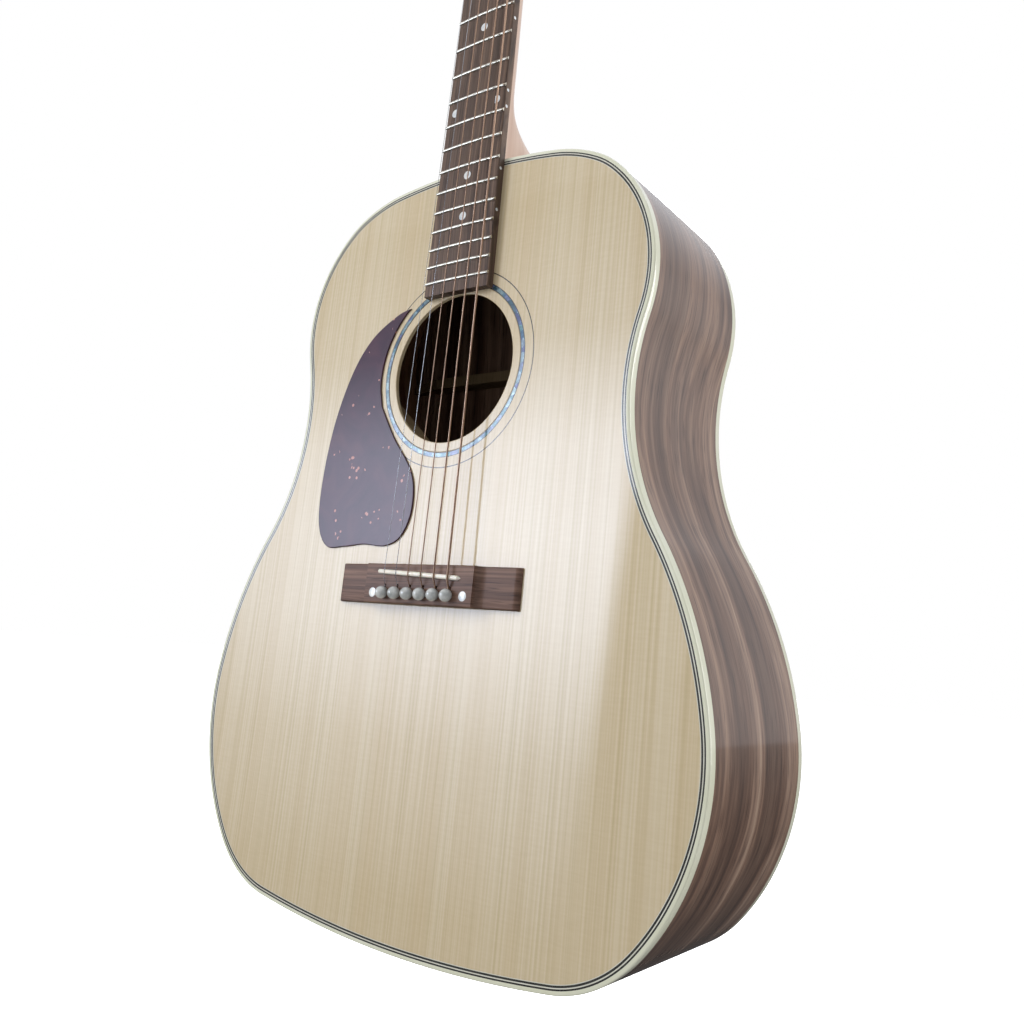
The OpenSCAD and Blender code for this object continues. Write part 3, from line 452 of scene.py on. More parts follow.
def startTree(name, inputs):
    tree = bpy.data.node_groups.new(name, "GeometryNodeTree")
    tree.interface.new_socket("Geometry", in_out="INPUT", socket_type="NodeSocketGeometry")
    tree.interface.new_socket("Geometry", in_out="OUTPUT", socket_type="NodeSocketGeometry")
    for inputName, kind, value in inputs:
        socket = tree.interface.new_socket(inputName, in_out="INPUT", socket_type="NodeSocket" + kind)
        if value is not None:
            socket.default_value = value
    return tree, tree.nodes.new("NodeGroupInput").outputs


def endTree(tree, geometry, material):
    realized = addNode(tree, "GeometryNodeRealizeInstances", in0=geometry)
    painted = addNode(tree, "GeometryNodeSetMaterial", Geometry=realized, Material=material)
    addNode(tree, "NodeGroupOutput", in0=painted)


# Copies of one small piece, on every point of a mesh
def makeCopiesTree():
    tree, given = startTree("copiesOnPoints", [("Piece", "Object", None), ("Turn", "Rotation", None),
                                               ("Finish", "Material", None)])
    piece = addNode(tree, "GeometryNodeObjectInfo", Object=given["Piece"])
    copies = addNode(tree, "GeometryNodeInstanceOnPoints", Points=given["Geometry"],
                     Instance=piece.outputs["Geometry"], Rotation=given["Turn"])
    endTree(tree, copies, given["Finish"])
    return tree


copiesTree = makeCopiesTree()


def copyOnPoints(mesh, points, finish, turn=(0, 0, 0)):
    model = addObject("model", mesh)
    result = runTree(copiesTree, meshFrom(points, [], False), {"Piece": model, "Turn": turn,
                                                             "Finish": finishes[finish]})
    bpy.data.objects.remove(model)
    result.materials.clear()
    return result


# Measures shared by the pieces, as the frame has them
body = {"frontY": -62, "backY": 62, "tailZ": 10, "tailDepth": 124, "neckDepth": 101, "dishRadius": 4572,
        "rim": 2.4, "plate": 2.8, "bindingHeight": 5.5,
        "arcs": [(840, -82), (80, -41), (142, 8.5), (249, 32.5), (-156, -16.5), (96, 50), (63, 62), (111, 82)]}
neck = {"scale": 628.5, "saddleLine": 217.5, "nutWidth": 42.8, "endWidth": 56, "boardHeight": 6.2,
        "boardRadius": 400, "frets": 20, "boardLip": 9, "shaftDepth": 14.5, "headPitch": 14, "headLength": 172,
        "headThickness": 13.5, "faceThickness": 1.5, "nutLength": 5, "nutRise": 1.3}
strings = {"diameters": [0.30, 0.41, 0.61, 0.81, 1.07, 1.35], "bridgeGap": 10.9, "nutGap": 7.2, "plain": 2,
           "turns": 3, "coilSteps": 24, "coilRise": 8, "coilGap": 0.04}
tuners = {"low": 36, "gap": 46, "lowestX": 25.5, "spreadPerMm": 0.035, "holeRadius": 5.0, "postRadius": 3,
          "wheelRadius": 5.8, "wormRadius": 2.6, "gearGap": 0.1, "screwDrop": 10.5}
rosette = {"hole": 50.4, "holeZ": 355.8, "shell": (57.5, 59.8), "lines": ((56.9, 57.5), (59.8, 60.4)),
           "outer": (66.6, 67.3), "depth": 1.2}
frontY, tailZ = body["frontY"], body["tailZ"]


def onArc(angle, radius=1.0, centre=(0, 0)):
    return (centre[0] + radius * cosine(angle), centre[1] + radius * sine(angle))


# Centre, radius, first and last angle of each arc of the half outline, from the tail up
def findArcs():
    found, centre, start = [], (0, body["arcs"][0][0]), -90
    for index, (radius, end) in enumerate(body["arcs"]):
        found.append((centre, radius, start, end))
        last = onArc(end, radius, centre)
        if index + 1 < len(body["arcs"]):
            centre = onArc(end, -body["arcs"][index + 1][0], last)
        start = end
    closing = last[0] / cosine(end)
    found.append((onArc(end, -closing, last), closing, end, 90))
    return found


bodyArcs = findArcs()
bodyLength = bodyArcs[-1][0][1] + bodyArcs[-1][1]
backLean = math.asin((body["tailDepth"] - body["neckDepth"]) / bodyLength)
dishRise = (bodyLength / 2) ** 2 / 2 / body["dishRadius"]


# The closed outline, set in by some millimetres: x, and height above the tail. Every inset has the same points
def bodyOutline(inset=0.0, step=3.0):
    half = []
    for centre, radius, start, end in bodyArcs:
        count = max(3, round(abs(radius * math.radians(end - start)) / step))
        half += [onArc(start + (end - start) * k / count, radius - inset, centre) for k in range(count)]
    half.append((0.0, bodyLength - inset))
    return half + [(-x, z) for x, z in half[-2:0:-1]]


# Depth of the dished back's outer face at a place on the plan
def backAt(x, z):
    depth = body["backY"]
    for _ in range(3):
        along = -(depth - body["backY"]) * math.sin(backLean) + z * math.cos(backLean)
        dish = dishRise - (x * x + (along - bodyLength / 2) ** 2) / 2 / body["dishRadius"]
        depth = body["backY"] + (dish - z * math.sin(backLean)) / math.cos(backLean)
    return depth


def toFrame(x, y, z):
    return (x, y, z + tailZ)


outlineNow = bodyOutline()
outlineCount = len(outlineNow)


# A band round the rim: its section is a list of (inset, depth), and depthAt turns each depth into a Y
def rimBand(section, depthAt, first=0, last=None):
    loops = [bodyOutline(inset) for inset, _ in section]
    last = outlineCount if last is None else last
    rings = []
    for station in range(first, last + 1 if last < outlineCount else outlineCount):
        places = [loop[station % outlineCount] for loop in loops]
        rings.append([toFrame(x, depthAt(x, z, offset), z) for (x, z), (_, offset) in zip(places, section)])
    return skinRings(rings, joined=last == outlineCount and first == 0)


def roundedCorner(radius, inner, deep, steps=5):
    corner = [(radius - radius * sine(90 * k / steps),
               radius - radius * cosine(90 * k / steps)) for k in range(steps + 1)]
    return [(inner, 0.0)] + corner + [(0.0, deep), (inner, deep)]


def frontDepth(x, z, offset):
    return frontY + offset


def backDepth(x, z, offset):
    return backAt(x, z) - offset


# Body
def makeBinding():
    section = roundedCorner(0.9, body["rim"], body["bindingHeight"])
    addPiece("bindingFront", rimBand(section, frontDepth), "binding", ["front_binding"])
    addPiece("bindingBack", rimBand(section, backDepth), "binding", ["back_binding"])
    lines = [("darkLine", 2.4, 3.3), ("paleLine", 3.3, 3.9), ("darkLine", 3.9, 5.0), ("paleLine", 5.0, 5.4)]
    deep = rosette["depth"]
    for index, (finish, start, end) in enumerate(lines):
        band = rimBand([(start, 0.0), (start, deep), (end, deep), (end, 0.0)], frontDepth)
        addPiece(f"purflingLine{index + 1}", band, finish, ["front_purfling"])
    print("binding and purfling")


# Writes the distance round the rim, and the depth, as the grain's own map, so the figure bends with the side
def mapRim(mesh):
    ring = bodyOutline()
    travelled = [0.0]
    for a, b in zip(ring, ring[1:] + ring[:1]):
        travelled.append(travelled[-1] + math.dist(a, b))
    layer = mesh.uv_layers.new(name="rimGrain")
    nearest = {}
    for vertex in mesh.vertices:
        x, z = vertex.co.x / mm, vertex.co.z / mm - tailZ
        best = min(range(outlineCount), key=lambda k: (ring[k][0] - x) ** 2 + (ring[k][1] - z) ** 2)
        nearest[vertex.index] = (travelled[best] * mm, vertex.co.y)
    for loop in mesh.loops:
        layer.data[loop.index].uv = nearest[loop.vertex_index]


def makeSides():
    half = outlineCount // 2
    tailEnd = next(k for k in range(half) if outlineNow[k][0] >= 8)
    for name, start, end, node in (("sideBass", tailEnd, half, "side_bass"),
                                   ("sideTreble", half, outlineCount - tailEnd, "side_treble")):
        mesh = rimBand([(0.0, 0.0), (0.0, 1.0), (body["rim"], 1.0), (body["rim"], 0.0)],
                       lambda x, z, u: (1 - u) * (frontY + body["bindingHeight"])
                       + u * (backAt(x, z) - body["bindingHeight"]), start, end)
        mapRim(mesh)
        addPiece(name, mesh, "sides", [node])
    print("sides")


def makeBack():
    centre, rings = (0.0, 232.0), 20
    outer = bodyOutline(body["rim"])
    sizes = [1 - (k / rings) ** 1.2 * 0.985 for k in range(rings + 1)]
    places = [[(centre[0] + s * (x - centre[0]), centre[1] + s * (z - centre[1])) for x, z in outer]
              for s in sizes]
    outside = [[toFrame(x, backAt(x, z), z) for x, z in ring] for ring in places]
    inside = [[toFrame(x, backAt(x, z) - body["plate"], z) for x, z in ring] for ring in places]
    addPiece("backPlate", skinRings(outside[::-1] + inside), "back", ["back_plate"])
    print("back")


def makeTop():
    deepY = frontY + rosette["depth"]
    rim, under = ([(x, z + tailZ) for x, z in bodyOutline(inset)] for inset in (5.4, body["rim"]))
    innerLine, outerLine = rosette["lines"]

    def circle(r):
        return circleOutline(0, rosette["holeZ"] + tailZ, r, 160)

    layers = [cutPlate([rim, circle(rosette["outer"][1])], frontY, deepY),
              cutPlate([circle(rosette["outer"][0]), circle(outerLine[1])], frontY, deepY),
              cutPlate([circle(innerLine[0]), circle(rosette["hole"])], frontY, deepY, 0.5),
              cutPlate([under, circle(rosette["hole"] + 0.3)], deepY, frontY + body["plate"])]
    addPiece("soundboardPlate", joinMeshes(layers), "top", ["soundboard"])
    rings = [("rosetteShell", rosette["shell"], "shell"), ("rosetteInnerLine", innerLine, "darkLine"),
             ("rosetteOuterLine", outerLine, "darkLine"), ("rosetteFineRing", rosette["outer"], "darkLine")]
    for name, (inner, outer), finish in rings:
        ring = cutPlate([circle(outer), circle(inner)], frontY, deepY)
        addPiece(name, ring, finish, ["rosette"])
    print("top and rosette")


pickguard = {"thickness": 1.2, "hug": 64, "edge": 0.5, "hugFrom": 189, "hugStep": 2.2, "hugPoints": 26,
             "outline": [(-43, 402.5), (-56, 399), (-78, 385), (-94, 362), (-106, 326), (-111, 286),
                         (-109, 254), (-98, 237.8), (-80, 237.4), (-61, 239), (-41, 238), (-27, 244.5),
                         (-20, 262), (-24, 286), (-45, 312), (-60, 334)]}


# A smooth curve through points
def smoothCurve(points, steps):
    p = [Vector(q) for q in points]
    result = []
    for i in range(len(p) - 1):
        a, b, c, d = p[max(0, i - 1)], p[i], p[i + 1], p[min(len(p) - 1, i + 2)]
        for k in range(steps):
            u = k / steps
            result.append(tuple(b + u * (c - a) / 2 + u * u * (a - 2.5 * b + 2 * c - 0.5 * d)
                                + u ** 3 * (1.5 * b - 1.5 * c + (d - a) / 2)))
    return result + [tuple(p[-1])]


def makePickguard():
    outline = smoothCurve(pickguard["outline"], 8)
    outline += [onArc(pickguard["hugFrom"] - pickguard["hugStep"] * k, pickguard["hug"], (0, rosette["holeZ"]))
                for k in range(pickguard["hugPoints"])]
    outline = [(x, z + tailZ) for x, z in outline]
    mesh = cutPlate([outline], frontY - pickguard["thickness"], frontY, pickguard["edge"], 3)
    addPiece("pickguardSheet", mesh, "tortoise", ["pickguard"])
    print("pickguard")


makeBinding()
makeSides()
makeBack()
makeTop()
makePickguard()

# Neck
def fretZ(n):
    return nutZ - neck["scale"] * (1 - 2 ** (-n / 12))


def boardHalf(z):
    share = (nutZ - z) / (nutZ - boardEndZ)
    return (neck["nutWidth"] + (neck["endWidth"] - neck["nutWidth"]) * share) / 2


def camber(x):
    return x * x / 2 / neck["boardRadius"]


def ease(u):
    u = max(0.0, min(1.0, u))
    return u * u * (3 - 2 * u)


def blend(a, b, u):
    return a + (b - a) * u


nutZ = neck["saddleLine"] + neck["scale"]
boardEndZ = fretZ(neck["frets"]) - neck["boardLip"]
headZ = nutZ + neck["nutLength"]
headPitch = math.radians(neck["headPitch"])
headPlace = moved(0, frontY, tailZ + headZ) @ turned(-neck["headPitch"], "X")
headstock = {"neckWidth": 45, "lowWidth": 70, "topWidth": 78, "flare": 30, "corner": 9}
heel = {"reach": 13, "sweep": 40, "curve": 3, "capThickness": 2.5, "shaftRound": 1.8, "squareness": 3,
        "taper": 0.4, "overlap": 6}
rodPocket = {"half": 4.6, "start": 1, "end": 21, "faceEnd": 21.6, "front": -4, "depth": 11.2}
headEndRows = (9, 7.5, 6, 4.5, 3, 2, 1.2, 0.5, 0.1)  # closer and closer to the round corners of the head's end
capY = body["backY"] - bodyLength * math.sin(backLean) - heel["capThickness"]


def headHalf(z):
    s, up = ease(z / headstock["flare"]), max(0.0, z - neck["headLength"] + headstock["corner"])
    if z < headstock["flare"]:
        width = headstock["neckWidth"] + (headstock["lowWidth"] - headstock["neckWidth"]) * s
    else:
        width = headstock["lowWidth"] + (headstock["topWidth"] - headstock["lowWidth"]) * (
            z - headstock["flare"]) / (neck["headLength"] - headstock["flare"])
    return width / 2 - headstock["corner"] + math.sqrt(max(0.0, headstock["corner"] ** 2 - up * up))


# Half an oval below the front face; it turns into the heel at the body, and into a flat slab at the headstock
def neckSection(z, points=30):
    sweep = max(0.0, 1 - max(0.0, z - bodyLength - heel["reach"]) / heel["sweep"])
    heelShare = 1 - ease((z - bodyLength - heel["reach"]) / heel["sweep"])
    along = z - headZ
    headShare = ease((along + 6) / 30)
    shaft = neck["shaftDepth"] + 2.5 * (nutZ - z) / (nutZ - bodyLength)
    width = headHalf(along / math.cos(headPitch)) if along > 0 else boardHalf(z)
    top = along * math.tan(headPitch) if along > 0 else 0.0
    depth = blend(shaft + (capY - frontY + heel["overlap"] - shaft) * sweep ** heel["curve"],
                  neck["headThickness"] / math.cos(headPitch), headShare)
    power = blend(blend(heel["shaftRound"], heel["squareness"], heelShare), 12, headShare)
    half = []
    for k in range(points + 1):
        a = math.pi / 2 * k / points
        s = math.sin(a) ** (2 / power)
        half.append((width * max(0.0, math.cos(a)) ** (2 / power) * (1 - heel["taper"] * heelShare * s),
                     frontY + top + depth * s, z + tailZ))
    return half + [(-x, y, h) for x, y, h in half[-2::-1]]


def spread(start, end, count):
    return [start + (end - start) * k / count for k in range(count)]


def neckLoft():
    heights = spread(bodyLength - 4, bodyLength + 13, 6) + spread(bodyLength + 13, bodyLength + 60, 30)
    heights += spread(bodyLength + 60, headZ - 8, 18) + spread(headZ - 8, headZ, 6)
    heights += [headZ + z * math.cos(headPitch) for z in spread(0, 34, 16)]
    heights += [headZ + z * math.cos(headPitch) for z in spread(34, neck["headLength"] - 9, 8)]
    heights += [headZ + (neck["headLength"] - z) * math.cos(headPitch) for z in headEndRows]
    return skinRings([neckSection(z) for z in heights])


# Keeps the part of a closed mesh on one side of a depth
def sliceDepth(mesh, depth, keepFront):
    shape = bmesh.new()
    shape.from_mesh(mesh)
    cut = bmesh.ops.bisect_plane(shape, geom=shape.verts[:] + shape.edges[:] + shape.faces[:],
                                 plane_co=(0, depth * mm, 0), plane_no=(0, 1, 0), clear_outer=keepFront,
                                 clear_inner=not keepFront)
    edges = [e for e in cut["geom_cut"] if isinstance(e, bmesh.types.BMEdge)]
    bmesh.ops.holes_fill(shape, edges=edges)
    bmesh.ops.recalc_face_normals(shape, faces=shape.faces)
    shape.to_mesh(mesh)
    shape.free()
    return mesh


def postPlace(i):
    height = tuners["low"] + tuners["gap"] * (i if i < 3 else 5 - i)
    return (-1 if i < 3 else 1) * (tuners["lowestX"] + height * tuners["spreadPerMm"]), height


def alongBack(radius, length, x, z, start):
    tool = turnProfile([(radius, 0), (radius, length)])
    tool.transform(headPlace @ moved(x, start, z) @ turned(-90, "X"))
    return tool


def makeNeck():
    wood = sliceDepth(neckLoft(), capY, True)
    cap = sliceDepth(sliceDepth(neckLoft(), capY, False), capY + heel["capThickness"], True)
    tools = [alongBack(tuners["holeRadius"], 20, *postPlace(i), -2) for i in range(6)]
    half, corner = rodPocket["half"], headstock["corner"]
    pocket = boxMesh((-half, frontY + rodPocket["front"], tailZ + headZ + rodPocket["start"]),
                     (half, frontY + rodPocket["depth"], tailZ + headZ + rodPocket["end"]))
    addPiece("neckShaft", carve(wood, tools + [pocket]), "neck", ["neck"], sharp=50)
    addPiece("heelCap", cap, "binding", ["heel_cap"])
    rows = spread(0, headstock["flare"], 14) + spread(headstock["flare"], neck["headLength"] - corner, 3)
    rows += [neck["headLength"] - z for z in headEndRows]
    outline = [(headHalf(z), z) for z in rows] + [(-headHalf(z), z) for z in rows[::-1]]
    holes = [circleOutline(*postPlace(i), tuners["holeRadius"], 48) for i in range(6)]
    low, high = rodPocket["start"], rodPocket["faceEnd"]
    holes.append([(-half, low), (half, low), (half, high), (-half, high)])
    face = cutPlate([outline] + holes, -neck["faceThickness"], 0.0, 0.25)
    addPiece("headstockVeneer", face, "board", ["headstock_face"], place=headPlace)
    print("neck")


fretboard = {"edge": 0.7, "crown": 1.0, "width": 2.2, "dot": 3.0, "sideDot": 1.1,
             "dotFrets": (3, 5, 7, 9, 15, 17), "octave": 12, "octaveX": 18.5, "octaveGap": 6}


def boardSection(z):
    half, edge = boardHalf(z), fretboard["edge"]

    def top(x):
        return frontY - neck["boardHeight"] + camber(x)

    right = [(half, frontY)] + [(half - edge + edge * cosine(a), top(half - edge) + edge - edge * sine(a))
                                for a in (0, 22, 45, 68, 90)]
    xs = [(half - edge) * k / 12 for k in range(11, -12, -1)]
    ring = right + [(x, top(x)) for x in xs] + [(-x, y) for x, y in right[::-1]]
    return [toFrame(x, y, z) for x, y in ring]


# Frets set by rule: each one is at the scale length times a twelfth root of two, as wide as the board is there
def makeFretTree():
    tree, given = startTree("fretsByRule", [("Count", "Int", 20), ("Scale", "Float", 0.6285),
                                            ("Nut Height", "Float", 0.8),
                                            ("End Height", "Float", 0.4), ("Nut Half", "Float", 0.02),
                                            ("End Half", "Float", 0.03), ("Base", "Float", 0.0),
                                            ("Radius", "Float", 0.4), ("Crown", "Float", 0.001),
                                            ("Width", "Float", 0.002), ("Finish", "Material", None)])
    line = addNode(tree, "GeometryNodeMeshLine", {"mode": "OFFSET"}, Count=given["Count"], Offset=(0, 0, 0))
    number = calculate(tree, "ADD", addNode(tree, "GeometryNodeInputIndex").outputs[0], 1.0)
    left = calculate(tree, "POWER", 2.0, calculate(tree, "DIVIDE", number, -12.0))
    drop = calculate(tree, "MULTIPLY", calculate(tree, "SUBTRACT", 1.0, left), given["Scale"])
    height = calculate(tree, "SUBTRACT", given["Nut Height"], drop)
    placed = addNode(tree, "GeometryNodeSetPosition", Geometry=line,
                     Position=addNode(tree, "ShaderNodeCombineXYZ", Z=height))
    boardSpan = calculate(tree, "SUBTRACT", given["Nut Height"], given["End Height"])
    share = calculate(tree, "DIVIDE", drop, boardSpan)
    half = calculate(tree, "ADD", given["Nut Half"], calculate(tree, "MULTIPLY", share,
                     calculate(tree, "SUBTRACT", given["End Half"], given["Nut Half"])))
    path = addNode(tree, "GeometryNodeCurvePrimitiveLine", in0=(-1, 0, 0), in1=(1, 0, 0))
    path = addNode(tree, "GeometryNodeResampleCurve", Curve=path, Count=21)
    profile = addNode(tree, "GeometryNodeCurvePrimitiveCircle", Resolution=16, Radius=1.0)
    bar = addNode(tree, "GeometryNodeCurveToMesh", Curve=path, Profile_Curve=profile)
    bar.inputs["Fill Caps"].default_value = True
    size = addNode(tree, "ShaderNodeCombineXYZ", X=half, Y=given["Crown"],
                   Z=calculate(tree, "DIVIDE", given["Width"], 2.0))
    bars = addNode(tree, "GeometryNodeInstanceOnPoints", Points=placed, Instance=bar, Scale=size)
    solid = addNode(tree, "GeometryNodeRealizeInstances", in0=bars)
    place = addNode(tree, "ShaderNodeSeparateXYZ", Vector=addNode(tree, "GeometryNodeInputPosition"))
    arch = calculate(tree, "DIVIDE", calculate(tree, "MULTIPLY", place.outputs["X"], place.outputs["X"]),
                     calculate(tree, "MULTIPLY", given["Radius"], 2.0))
    low = calculate(tree, "MINIMUM", place.outputs["Y"], 0.0)
    bent = addNode(tree, "ShaderNodeCombineXYZ", X=place.outputs["X"], Z=place.outputs["Z"],
                   Y=calculate(tree, "ADD", calculate(tree, "ADD", low, arch), given["Base"]))
    endTree(tree, addNode(tree, "GeometryNodeSetPosition", Geometry=solid, Position=bent), given["Finish"])
    return tree


# A pearl disc that stands a hair proud of the wood round it
def inlayDisc(radius, segments):
    return turnProfile([(radius, -0.6), (radius, 0.02), (radius - 0.1, 0.05)], segments)


def makeFretboard():
    addPiece("fingerboardWood", skinRings([boardSection(z) for z in (boardEndZ, nutZ)]), "board",
             ["fretboard"])
    top = frontY - neck["boardHeight"]
    inputs = {"Count": neck["frets"], "Scale": neck["scale"] * mm, "Nut Height": (nutZ + tailZ) * mm,
              "End Height": (boardEndZ + tailZ) * mm, "Nut Half": (boardHalf(nutZ) - 0.2) * mm,
              "End Half": (boardHalf(boardEndZ) - 0.2) * mm, "Base": (top - 0.02) * mm,
              "Radius": neck["boardRadius"] * mm, "Crown": fretboard["crown"] * mm,
              "Width": fretboard["width"] * mm, "Finish": finishes["fretMetal"]}
    frets = runTree(makeFretTree(), meshFrom([(0, 0, 0)], [], False), inputs)
    frets.materials.clear()
    addPiece("fretWires", frets, "fretMetal", ["frets"])
    middles = [(fretZ(n) + fretZ(n - 1)) / 2 for n in fretboard["dotFrets"]]
    octave = (fretZ(fretboard["octave"]) + fretZ(fretboard["octave"] - 1)) / 2
    dots = [(0, z) for z in middles] + [(x, octave) for x in (-fretboard["octaveX"], fretboard["octaveX"])]
    faceDots = copyOnPoints(inlayDisc(fretboard["dot"], 40), [toFrame(x, top + camber(x), z) for x, z in dots],
                            "pearl", (math.pi / 2, 0, 0))
    addPiece("faceDots", faceDots, "pearl", ["fret_dots"])
    marks = middles + [octave + d for d in (-fretboard["octaveGap"], fretboard["octaveGap"])]
    sideY = frontY - neck["boardHeight"] / 2 - 0.2
    sideDots = copyOnPoints(inlayDisc(fretboard["sideDot"], 24), [toFrame(boardHalf(z), sideY, z) for z in marks],
                            "pearl", (0, math.pi / 2, 0))
    addPiece("sideDots", sideDots, "pearl", ["side_dots"])
    print("fretboard, frets and dots")


makeNeck()
makeFretboard()

# Bridge
bridge = {"half": 75.5, "block": 45.2, "low": -6.5, "width": 25, "height": 9, "wing": 4.2, "wingEnd": 3.4,
          "edge": 0.8, "shoulder": 6.5, "roundEnd": 3.4, "saddleHalf": 35.4, "saddleThickness": 2.8,
          "saddleSlant": 2.4, "saddleTop": 12, "saddleZ": 219.3, "pinZ": 207.3, "pinRadius": 4.0,
          "pinCentre": 2.7, "holeRadius": 2.9, "holeDepth": 5, "dotX": 38.2}
bridgeTopY = frontY - bridge["height"]


def pinX(i):
    return (i - 2.5) * strings["bridgeGap"]


# Height of the bridge along its length: flat block, short scooped shoulder, thin wing, rounded end
def bridgeHeight(x):
    x = abs(x)
    if x <= bridge["block"]:
        return bridge["height"]
    u = (x - bridge["block"]) / bridge["shoulder"]
    wing = blend(bridge["wing"], bridge["wingEnd"], (x - bridge["block"]) / (bridge["half"] - bridge["block"]))
    shoulder = (bridge["height"] - 1.6 - bridge["wing"]) * max(0.0, 1 - u) ** 2.6
    end = max(0.0, x - bridge["half"] + bridge["roundEnd"]) / bridge["roundEnd"]
    return max(0.4, (wing + shoulder) * math.sqrt(max(0.0, 1 - end ** 2 * 0.96)))


def bridgeSection(x):
    height, edge = bridgeHeight(x), min(bridge["edge"], bridgeHeight(x) * 0.4)
    low = bridge["pinZ"] + bridge["low"]
    high = low + bridge["width"]
    angles = (0, 30, 60, 90)
    ring = [(0.0, low)] + [(height - edge + edge * sine(a), low + edge - edge * cosine(a)) for a in angles]
    ring += [(height - edge + edge * cosine(a), high - edge + edge * sine(a)) for a in angles] + [(0.0, high)]
    return [toFrame(x, frontY - h, z) for h, z in ring]


def makeBridge():
    end = -bridge["half"]
    left = spread(end, end + 4, 10) + spread(end + 4, -52, 6) + spread(-52, -45.25, 12) + [-45.2, -44.9, -30, -15]
    wood = skinRings([bridgeSection(x) for x in left + [0] + [-x for x in left[::-1]]])
    tools = []
    for i in range(6):
        hole = turnProfile([(bridge["holeRadius"], 0), (bridge["holeRadius"], 8)], 32)
        hole.transform(moved(pinX(i), bridgeTopY + bridge["holeDepth"], bridge["pinZ"] + tailZ) @ turned(90, "X"))
        gap = strings["diameters"][i] / 2 + 0.45
        tools += [hole, boxMesh(toFrame(pinX(i) - gap, bridgeTopY - 1, bridge["pinZ"]),
                                toFrame(pinX(i) + gap, bridgeTopY + bridge["holeDepth"], bridge["pinZ"] + 5.6))]
    addPiece("bridgeWood", carve(wood, tools), "bridge", ["bridge"])
    disc = turnProfile([(3.0, -0.8), (3.0, 0.02), (2.9, 0.06)], 40)
    places = [toFrame(side * bridge["dotX"], bridgeTopY, bridge["pinZ"]) for side in (-1, 1)]
    dots = copyOnPoints(disc, places, "pearl", (math.pi / 2, 0, 0))
    addPiece("bridgeDots", dots, "pearl", ["bridge_dots"])
    radius, centre = bridge["pinRadius"], bridge["pinCentre"]
    pin = [(2.5, -9), (2.7, -0.3)] + [(radius * cosine(a), centre + radius * sine(a)) for a in range(-42, 90, 6)]
    pin.append((0.05, centre + radius))
    pins = copyOnPoints(turnProfile(pin, 40), [toFrame(pinX(i), bridgeTopY, bridge["pinZ"]) for i in range(6)],
                        "pin", (math.pi / 2, 0, 0))
    addPiece("bridgePins", pins, "pin", ["bridge_pins"], sharp=60)
    makeSaddle()
    print("bridge, saddle and pins")


# A thin bone blade with round ends, its crown curved like the fretboard
def makeSaddle():
    half, thick = bridge["saddleHalf"], bridge["saddleThickness"]
    rings = []
    for k in range(37):
        x = -half + 2 * half * k / 36
        fromEnd = half - abs(x)
        drop = 1.4 * (1 - math.sqrt(max(0.0, 1 - (1 - min(1, fromEnd / 2.2)) ** 2)))
        top = -bridge["saddleTop"] + camber(x) + drop
        width = thick / 2 * math.sqrt(max(0.03, 1 - (1 - min(1, fromEnd / 1.4)) ** 2))
        side = [(-bridge["height"] + 2, width), (top + 0.8, width), (top + 0.24, width * 0.72), (top, width * 0.3)]
        rings.append([(x, y, -w) for y, w in side] + [(x, y, w) for y, w in side[::-1]])
    place = moved(0, frontY, tailZ + bridge["saddleZ"])
    place = place @ turned(bridge["saddleSlant"], "Y")
    addPiece("saddleBone", skinRings(rings), "bone", ["saddle"], place=place)


makeBridge()


# Strings
def fromHead(x, y, z):
    p = headPlace @ Vector((x * mm, y * mm, z * mm))
    return tuple(c / mm for c in p)


# From inside the bridge over saddle and nut, then coiled down the post: every place in frame millimetres
def stringPath(i):
    r = strings["diameters"][i] / 2
    slant = pinX(i) * math.tan(math.radians(bridge["saddleSlant"]))
    atSaddle = (pinX(i), frontY - bridge["saddleTop"] - r - 0.03 + camber(pinX(i)),
                tailZ + bridge["saddleZ"] - slant - bridge["saddleThickness"] / 2)
    x = (i - 2.5) * strings["nutGap"]
    atNut = (x, frontY - neck["boardHeight"] - neck["nutRise"] - r + camber(x), tailZ + headZ)
    nutX, nutY = atNut[0], atNut[1] - frontY
    localZ = nutY * math.sin(headPitch)
    postX, postZ = postPlace(i)
    side = -1 if i < 3 else 1
    radius = tuners["postRadius"] - 0.42 + r
    steps, pitch = strings["coilSteps"], 2 * r + strings["coilGap"]
    awayX, awayZ = postX - nutX, postZ - localZ
    heading = math.degrees(math.atan2(awayZ, awayX))
    heading += side * math.degrees(math.asin(radius / math.hypot(awayX, awayZ)))
    coil = []
    for k in range(strings["turns"] * steps + 1):
        a = heading + side * 90 - side * 360 / steps * k
        coil.append(fromHead(postX + radius * cosine(a),
                             -neck["faceThickness"] - strings["coilRise"] + pitch * k / steps,
                             postZ + radius * sine(a)))
    inBridge = tailZ + bridge["pinZ"] + 4.2
    return [(pinX(i), frontY + 5, inBridge), (pinX(i), bridgeTopY - r - 0.05, inBridge), atSaddle, atNut] + coil


# A round wire along each edge line of the mesh; each point holds its own radius
def makeWireTree():
    tree, given = startTree("wiresOnPaths", [("Sides", "Int", 12), ("Finish", "Material", None)])
    radius = addNode(tree, "GeometryNodeInputNamedAttribute", {"data_type": "FLOAT"}, Name="wireRadius")
    path = addNode(tree, "GeometryNodeMeshToCurve", Mesh=given["Geometry"])
    profile = addNode(tree, "GeometryNodeCurvePrimitiveCircle", Resolution=given["Sides"], Radius=1.0)
    sized = addNode(tree, "GeometryNodeSetCurveRadius", Curve=path, Radius=radius.outputs["Attribute"])
    wire = addNode(tree, "GeometryNodeCurveToMesh", Curve=sized, Profile_Curve=profile)
    wire.inputs["Fill Caps"].default_value = True
    if "Scale" in wire.inputs:
        tree.links.new(radius.outputs["Attribute"], wire.inputs["Scale"])
    endTree(tree, wire, given["Finish"])
    return tree


